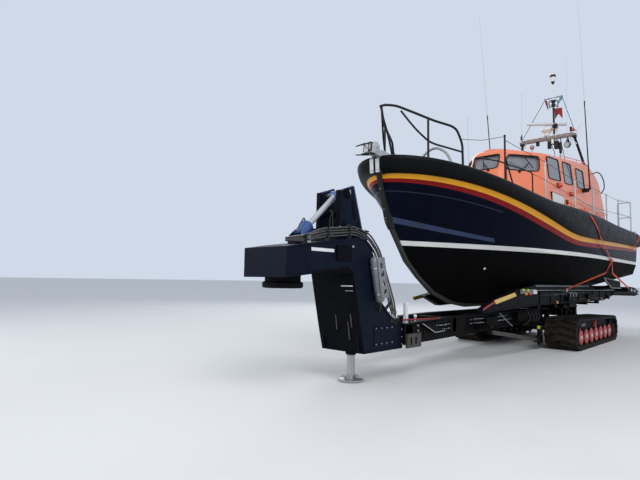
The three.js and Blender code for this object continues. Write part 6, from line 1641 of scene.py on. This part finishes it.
def rail_pieces():
    foot, brace_foot = deck_spot(TALL_X, TALL_INSET), deck_spot(TALL_FOOT, TALL_INSET)
    made = Shape().tube([foot, (*foot.xy, TALL_TOP)], 0.022, "black", 14)
    made.lathe((*foot.xy, TALL_TOP - 0.02), UP, [(0, 0.024), (0.02, 0.03), (0.035, 0.012)], "black", 14)
    made.tube([(*foot.xy, TALL_BRACE), brace_foot], 0.017, "black", 12)
    foot_plates(made, foot, brace_foot)
    above, below = Vector((*foot.xy, TALL_WIRE)), Vector((*foot.xy, TALL_BRACE - 0.08))
    for x, top, low, radius in RAIL_POSTS:
        thin = radius == THIN_WIRE
        spot = deck_spot(x, RAIL_INSET)
        high_end, low_end = Vector((x, spot.y, top - 0.02)), Vector((x, spot.y, low))
        made.tube([spot, high_end], 0.019, "steel", 14)
        made.lathe((x, spot.y, top - 0.03), UP, [(0, 0.02), (0.012, 0.026), (0.026, 0.018), (0.03, 0.008)],
                   "steel", 14)
        foot_plates(made, spot)
        # Thin wires sag a little and have a screw at the end.
        for start, end in ((above, high_end), (below, low_end)):
            middle = (start + end) / 2 - Vector((0, 0, 0.012 if thin else 0))
            made.tube([start, middle, end], radius, "black" if thin else "steel", 8)
            if thin:
                made.tube([start.lerp(middle, 0.06), start.lerp(middle, 0.20)], 0.012, "steel", 8)
        above, below = high_end, low_end
    inner = Vector((above.x, above.y - RAIL_RETURN, deck_spot(above.x, RAIL_INSET).z))
    made.tube([inner, (*inner.xy, above.z)], 0.019, "steel", 14)
    foot_plates(made, inner)
    made.tubes([[(*above.xy, z), (*inner.xy, z)] for z in (below.z, above.z)], 0.015, "steel", 12)
    # Wire from the pulpit's rear post, with a little sag.
    made.tube([(11.60, 0.89, 4.98), (11.05, 1.12, 5.04), (TALL_X, foot.y, TALL_TOP - 0.03)],
              THIN_WIRE, "black", 8)

    path = [Vector((*deck_spot(x, LOW_RAIL_INSET).xy, z)) for x, z in LOW_RAIL]
    low = Shape().tube(path, 0.017, "black", 12, 0.07)
    low.tube([path[3].lerp(path[4], 0.45), deck_spot(10.28, LOW_RAIL_INSET)], 0.017, "black", 12)
    foot_plates(low, *(deck_spot(x, LOW_RAIL_INSET) for x in (11.39, 10.28, 9.12)))
    for (side, _), rail, low_rail in zip(SIDES, (made, made.mirrored()), (low, low.mirrored())):
        rail.done(f"guard_rail_tubes_{side}", BOAT, "bare_metal", [f"guard_rail_{side}"], crease=45)
        low_rail.done(f"foredeck_rail_tube_{side}", BOAT, "black_fittings", [f"foredeck_rail_{side}"],
                      crease=45)


rail_pieces()

HOOP_X, HOOP_HALF = 11.20, 0.48


def hoop_piece():
    deck = hull_at(DECK_EDGE, HOOP_X).z
    half = [(HOOP_HALF, deck), (0.47, 4.45), (0.42, 4.70), (0.29, 4.90), (0.08, 5.02)]
    made = Shape().tube([(HOOP_X, -y, z) for y, z in half] + [(HOOP_X, y, z) for y, z in half[::-1]],
                        0.032, "grey", 20, 0.2)
    for y in (HOOP_HALF, -HOOP_HALF):
        made.lathe((HOOP_X, y, deck - 0.01), UP, [(0, 0.075), (0.022, 0.072), (0.03, 0.04)], "steel", 24)
        made.heads([(HOOP_X + c * 0.057, y + s * 0.057, deck + 0.008) for c, s in around(4, 45)], UP,
                   0.008, 0.01, 0.007, sides=6)
    made.done("foredeck_hoop_tube", BOAT, "grey_paint", ["foredeck_hoop"], crease=45)


hoop_piece()

WHIPS = (("port", 1, 3.74, 4.54), ("starboard", -1, 4.33, 5.37))
WHIP_LOW, WHIP_JOINT, WHIP_TOP, WHIP_Y = 4.95, 7.77, 11.40, 1.50


def whip_pieces():
    for side, sign, foot_x, tip_x in WHIPS:
        foot, tip = Vector((foot_x, sign * WHIP_Y, WHIP_LOW)), Vector((tip_x, sign * WHIP_Y, WHIP_TOP))
        joint = foot.lerp(tip, (WHIP_JOINT - WHIP_LOW) / (WHIP_TOP - WHIP_LOW))
        along = (tip - foot).normalized()
        made = Shape().tube([foot, foot + along * 0.16], 0.030, "black", 18)
        made.tube([foot + along * 0.16, joint], [0.022, 0.015], "black", 16)
        made.tube([joint - along * 0.04, joint + along * 0.10], 0.019, "black", 14)
        made.tube([joint + along * 0.10, tip], [0.0085, 0.004], "whip_grey", 10)
        made.done(f"whip_aerial_{side}", f"whip_{side}", "black_fittings", [f"aerial_{side}"], crease=50)
    # Thin aerials on the mast beam, on the roof and on the foredeck.
    made = Shape()
    for foot, tip, radius in (((3.05, -0.93, 7.37), (2.98, -0.93, 9.03), 0.006),
                              ((4.10, 0.93, smooth_curve(EAVES, 4.10) - 0.06), (3.90, 0.93, 9.51), 0.005),
                              ((9.36, 0.0, 4.06), (9.46, 0.0, 6.18), 0.006)):
        made.tube([foot, tip], radius, "whip_grey", 8)
        made.lathe(foot, UP, [(0, 0.02), (0.05, 0.018), (0.10, 0.010)], "black", 12)
        made.lathe(tip, UP, [(-0.02, 0.008), (0, 0.016), (0.02, 0.008)], "whip_grey", 10)
    made.done("thin_aerials", BOAT, "white_paint", crease=50)


whip_pieces()

TOWING_X, TOWING_Z = 0.13, 4.10
DOOR_WINDOW_Y, DOOR_WINDOW_Z, DOOR_RIM, WINDOW_RIM = (-0.20, 0.18), (4.80, 5.13), 0.035, 0.03
HANDLE_Z = 4.55
JET_Y, JET_Z, JET_BOLTS = 0.85, 2.20, 12


def towing_post():
    """Two bollards and a cross pin."""
    made = Shape()
    for y in (0.14, -0.14):
        made.lathe((TOWING_X, y, DECK_Z), UP, [(0, 0.085), (0.02, 0.085), (0.03, 0.052), (0.40, 0.050),
                                               (0.41, 0.062), (0.435, 0.062), (0.45, 0.045)], "steel", 28)
    made.tube([(TOWING_X, -0.29, TOWING_Z), (TOWING_X, 0.29, TOWING_Z)], 0.031, "steel", 18)
    for side in (1, -1):
        made.lathe((TOWING_X, side * 0.27, TOWING_Z), (0, side, 0),
                   [(0, 0.034), (0.002, 0.040), (0.018, 0.038), (0.02, 0.02)], "steel", 18)
    made.done("towing_post_bollards", BOAT, "bare_metal", ["towing_post"], crease=40)


def hatch_lid():
    """The lid with its raised panel and two grips."""
    (x0, y0, z0), (x1, y1, z1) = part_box("foredeck_hatch_lid")
    x0, x1 = x0 + ORIGIN_X, x1 + ORIGIN_X
    made = Shape().blocks("orange", (x0, x1, y0, y1, z0, z1 - 0.008),
                          (x0 + 0.06, x1 - 0.06, y0 + 0.06, y1 - 0.06, z1 - 0.01, z1))
    made.tubes([[(x1 - 0.13, y + dy, z1 + up) for dy, up in (
        (-0.05, -0.002), (-0.05, 0.02), (0.05, 0.02), (0.05, -0.002))] for y in (-0.18, 0.18)],
        0.007, "steel", 8, 0.015)
    made.done("hatch_lid_shell", "hatch", "house_paint", ["foredeck_hatch_lid"], bevel=0.006, crease=30)


def framed(y, z, rim):
    """Four bars, as (low, high) pairs in Y and Z, along the inside of an opening's edges."""
    (y0, y1), (z0, z1) = y, z
    return [(y, (z0, z0 + rim)), (y, (z1 - rim, z1)), ((y0, y0 + rim), z), ((y1 - rim, y1), z)]


def aft_door():
    """A panel with a rim, its window and its handle."""
    (x0, y0, z0), (x1, y1, z1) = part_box("aft_door")
    x0, x1 = x0 + ORIGIN_X, x1 + ORIGIN_X
    (wy0, wy1), (wz0, wz1), edge = DOOR_WINDOW_Y, DOOR_WINDOW_Z, WINDOW_RIM
    made = Shape().blocks("orange", *((x0 + 0.006, x1, *row) for row in (
        (y0, y1, z0, wz0), (y0, y1, wz1, z1), (y0, wy0, wz0, wz1), (wy1, y1, wz0, wz1))))
    for y, z in framed((y0, y1), (z0, z1), DOOR_RIM):
        made.block((x0, x0 + 0.02), y, z, "orange")
    made.blocks("gasket", *((x0, x0 + 0.02, *row) for row in (
        (wy0 - edge, wy1 + edge, wz0 - edge, wz0), (wy0 - edge, wy1 + edge, wz1, wz1 + edge),
        (wy0 - edge, wy0, wz0, wz1), (wy1, wy1 + edge, wz0, wz1))))
    made.blocks("side_glass", (x0 + 0.018, x0 + 0.026, wy0, wy1, wz0, wz1))
    handle = y0 + 0.09
    made.lathe((x0 + 0.002, handle, HANDLE_Z), (-1, 0, 0),
               [(0, 0.03), (0.012, 0.028), (0.014, 0.012), (0.04, 0.012)], "steel", 16)
    made.tube([(x0 - 0.034, y, HANDLE_Z) for y in (handle, handle + 0.13)], 0.010, "steel", 10)
    made.done("aft_door_panel", "door", "house_paint", ["aft_door"], bevel=0.003, crease=30, segments=1)


def small_fittings():
    """Flanges round the jets, stern fairleads, a round fitting in the bottom, and rails by the door."""
    made = Shape().lathe((0, JET_Y, JET_Z), (-1, 0, 0), [(0, 0.265), (0.004, 0.262), (0.016, 0.255),
                                                         (0.017, 0.237)], "steel", 40)
    made.blocks("steel", (0.55, 0.85, 1.72, 1.80, DECK_Z, DECK_Z + 0.05))
    for x in (0.58, 0.82):
        made.lathe((x, 1.76, DECK_Z + 0.04), UP, [(0, 0.03), (0.08, 0.026), (0.09, 0.034), (0.11, 0.03)],
                   "steel", 16)
    low, high = hull_at(SPRAY_RAIL - 1, 10.26), hull_at(SPRAY_RAIL, 10.26)
    made.lathe(low.lerp(high, 0.7), (0, high.z - low.z, low.y - high.y),
               [(-0.02, 0.032), (0.012, 0.032), (0.018, 0.02)], "bare_strip", 16)
    made.doubled()
    made.heads([(-0.012, side * JET_Y + c * 0.25, JET_Z + s * 0.25) for side in (1, -1)
                for c, s in around(JET_BOLTS)], (-1, 0, 0), 0.010, 0.012, 0.009, sides=6)
    (_, y0, _), (_, y1, _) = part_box("aft_door")
    made.tubes([[(1.02, y, 4.15), (0.96, y, 4.20), (0.96, y, 4.95), (1.02, y, 5.0)]
                for y in (y0 - 0.13, y1 + 0.13)], 0.014, "steel", 12, 0.04)
    made.done("deck_and_transom_fittings", BOAT, "bare_metal", bevel=0.002, crease=40, segments=1)


towing_post()
hatch_lid()
aft_door()
small_fittings()

# Finishes of the CAD nodes
DRESS = {
    "helm_console": "trim", "seats_front": "seat", "seats_aft": "seat",
    "foredeck_hatch_coaming": "orange",
    "glazing_front": "glass",
}
DRESS_PAIRS = {
    "glazing_side": "side_glass", "glazing_corner": "glass", "mast_leg": "black",
    "aerial_bracket": "black", "jet_outlet": "jet", "jet_nozzle": "jet", "jet_bucket": "jet",
}
for node, paint in DRESS.items():
    dress(node, paint)
for stem, paint in DRESS_PAIRS.items():
    for side, _ in SIDES:
        dress(f"{stem}_{side}", paint)

# A track's pads end PAD_HALF from its middle line, and the belt shows beyond them.
TRACK_MIDDLE, PAD_HALF = (TRACK_IN + TRACK_OUT) / 2, 0.41
for side, _ in SIDES:
    dress(f"track_{side}", "track", 40, "belt", lambda spot: abs(abs(spot.y) - TRACK_MIDDLE) > PAD_HALF)

# Stage, light and camera
FLOOR_REACH, FLOOR_Z = 400, -0.002


def studio():
    scene = bpy.context.scene
    mesh = bpy.data.meshes.new("floor")
    reach = FLOOR_REACH
    mesh.from_pydata([(-reach, -reach, 0), (reach, -reach, 0), (reach, reach, 0), (-reach, reach, 0)],
                     [], [(0, 1, 2, 3)])
    floor = bpy.data.objects.new("floor", mesh)
    floor.location.z = FLOOR_Z
    mesh.materials.append(finish_of("floor", (0.66, 0.65, 0.63), 0.85, spread=0.02, scale=0.3, bump=0.02))
    scene.collection.objects.link(floor)
    world = bpy.data.worlds.new("studio")
    world.use_nodes = True
    background = world.node_tree.nodes["Background"]
    background.inputs["Color"].default_value = (0.66, 0.73, 0.85, 1)
    background.inputs["Strength"].default_value = 0.95
    scene.world = world
    scene.view_settings.view_transform = "Standard"
    # Columns: name, place, target, size, power.
    for name, spot, target, size, power in (
        ("key", (14, 14, 16), (0, 0, 3), 12, 2600),
        ("fill", (20, -10, 9), (0, 0, 3), 14, 900),
        ("back", (-12, -15, 16), (0, 0, 3), 12, 1500),
    ):
        light = bpy.data.lights.new(name, "AREA")
        light.size = size
        light.energy = power
        lamp = bpy.data.objects.new(name, light)
        lamp.location = spot
        lamp.rotation_euler = (Vector(target) - Vector(spot)).to_track_quat("-Z", "Y").to_euler()
        scene.collection.objects.link(lamp)


studio()

# The photo's camera, fitted to the boat's length, sheer, stem and tracks. Pixels of the photo.
PHOTO_SIZE = (640, 480)
FOCAL_PX = 481.2
BOW_VANISHING_PX = (772.1, 287.5)
HORIZON_PX = 271.5
CAMERA_PLACE = (21.27, 5.75, 1.84)
SENSOR = 36.0


def photo_camera():
    middle_x, middle_y = PHOTO_SIZE[0] / 2, PHOTO_SIZE[1] / 2
    # In the camera's own axes: X right, Y down, Z ahead.
    aft = Vector((BOW_VANISHING_PX[0] - middle_x, BOW_VANISHING_PX[1] - middle_y, FOCAL_PX)).normalized()
    up = Vector((0, -FOCAL_PX, HORIZON_PX - middle_y)).normalized()
    forward = -aft
    port = up.cross(forward).normalized()
    above = forward.cross(port)
    right, down, ahead = (Vector((forward[i], port[i], above[i])) for i in range(3))
    data = bpy.data.cameras.new("photo_camera")
    data.sensor_width = SENSOR
    data.lens = FOCAL_PX * SENSOR / PHOTO_SIZE[0]
    data.clip_end = 1000
    camera = bpy.data.objects.new("photo_camera", data)
    turn = camera.matrix_world.to_3x3()
    for row in range(3):
        turn[row] = (right[row], -down[row], -ahead[row])
    camera.matrix_world = turn.to_4x4()
    camera.location = (CAMERA_PLACE[0] - ORIGIN_X, CAMERA_PLACE[1], CAMERA_PLACE[2])
    bpy.context.scene.collection.objects.link(camera)
    bpy.context.scene.camera = camera


photo_camera()
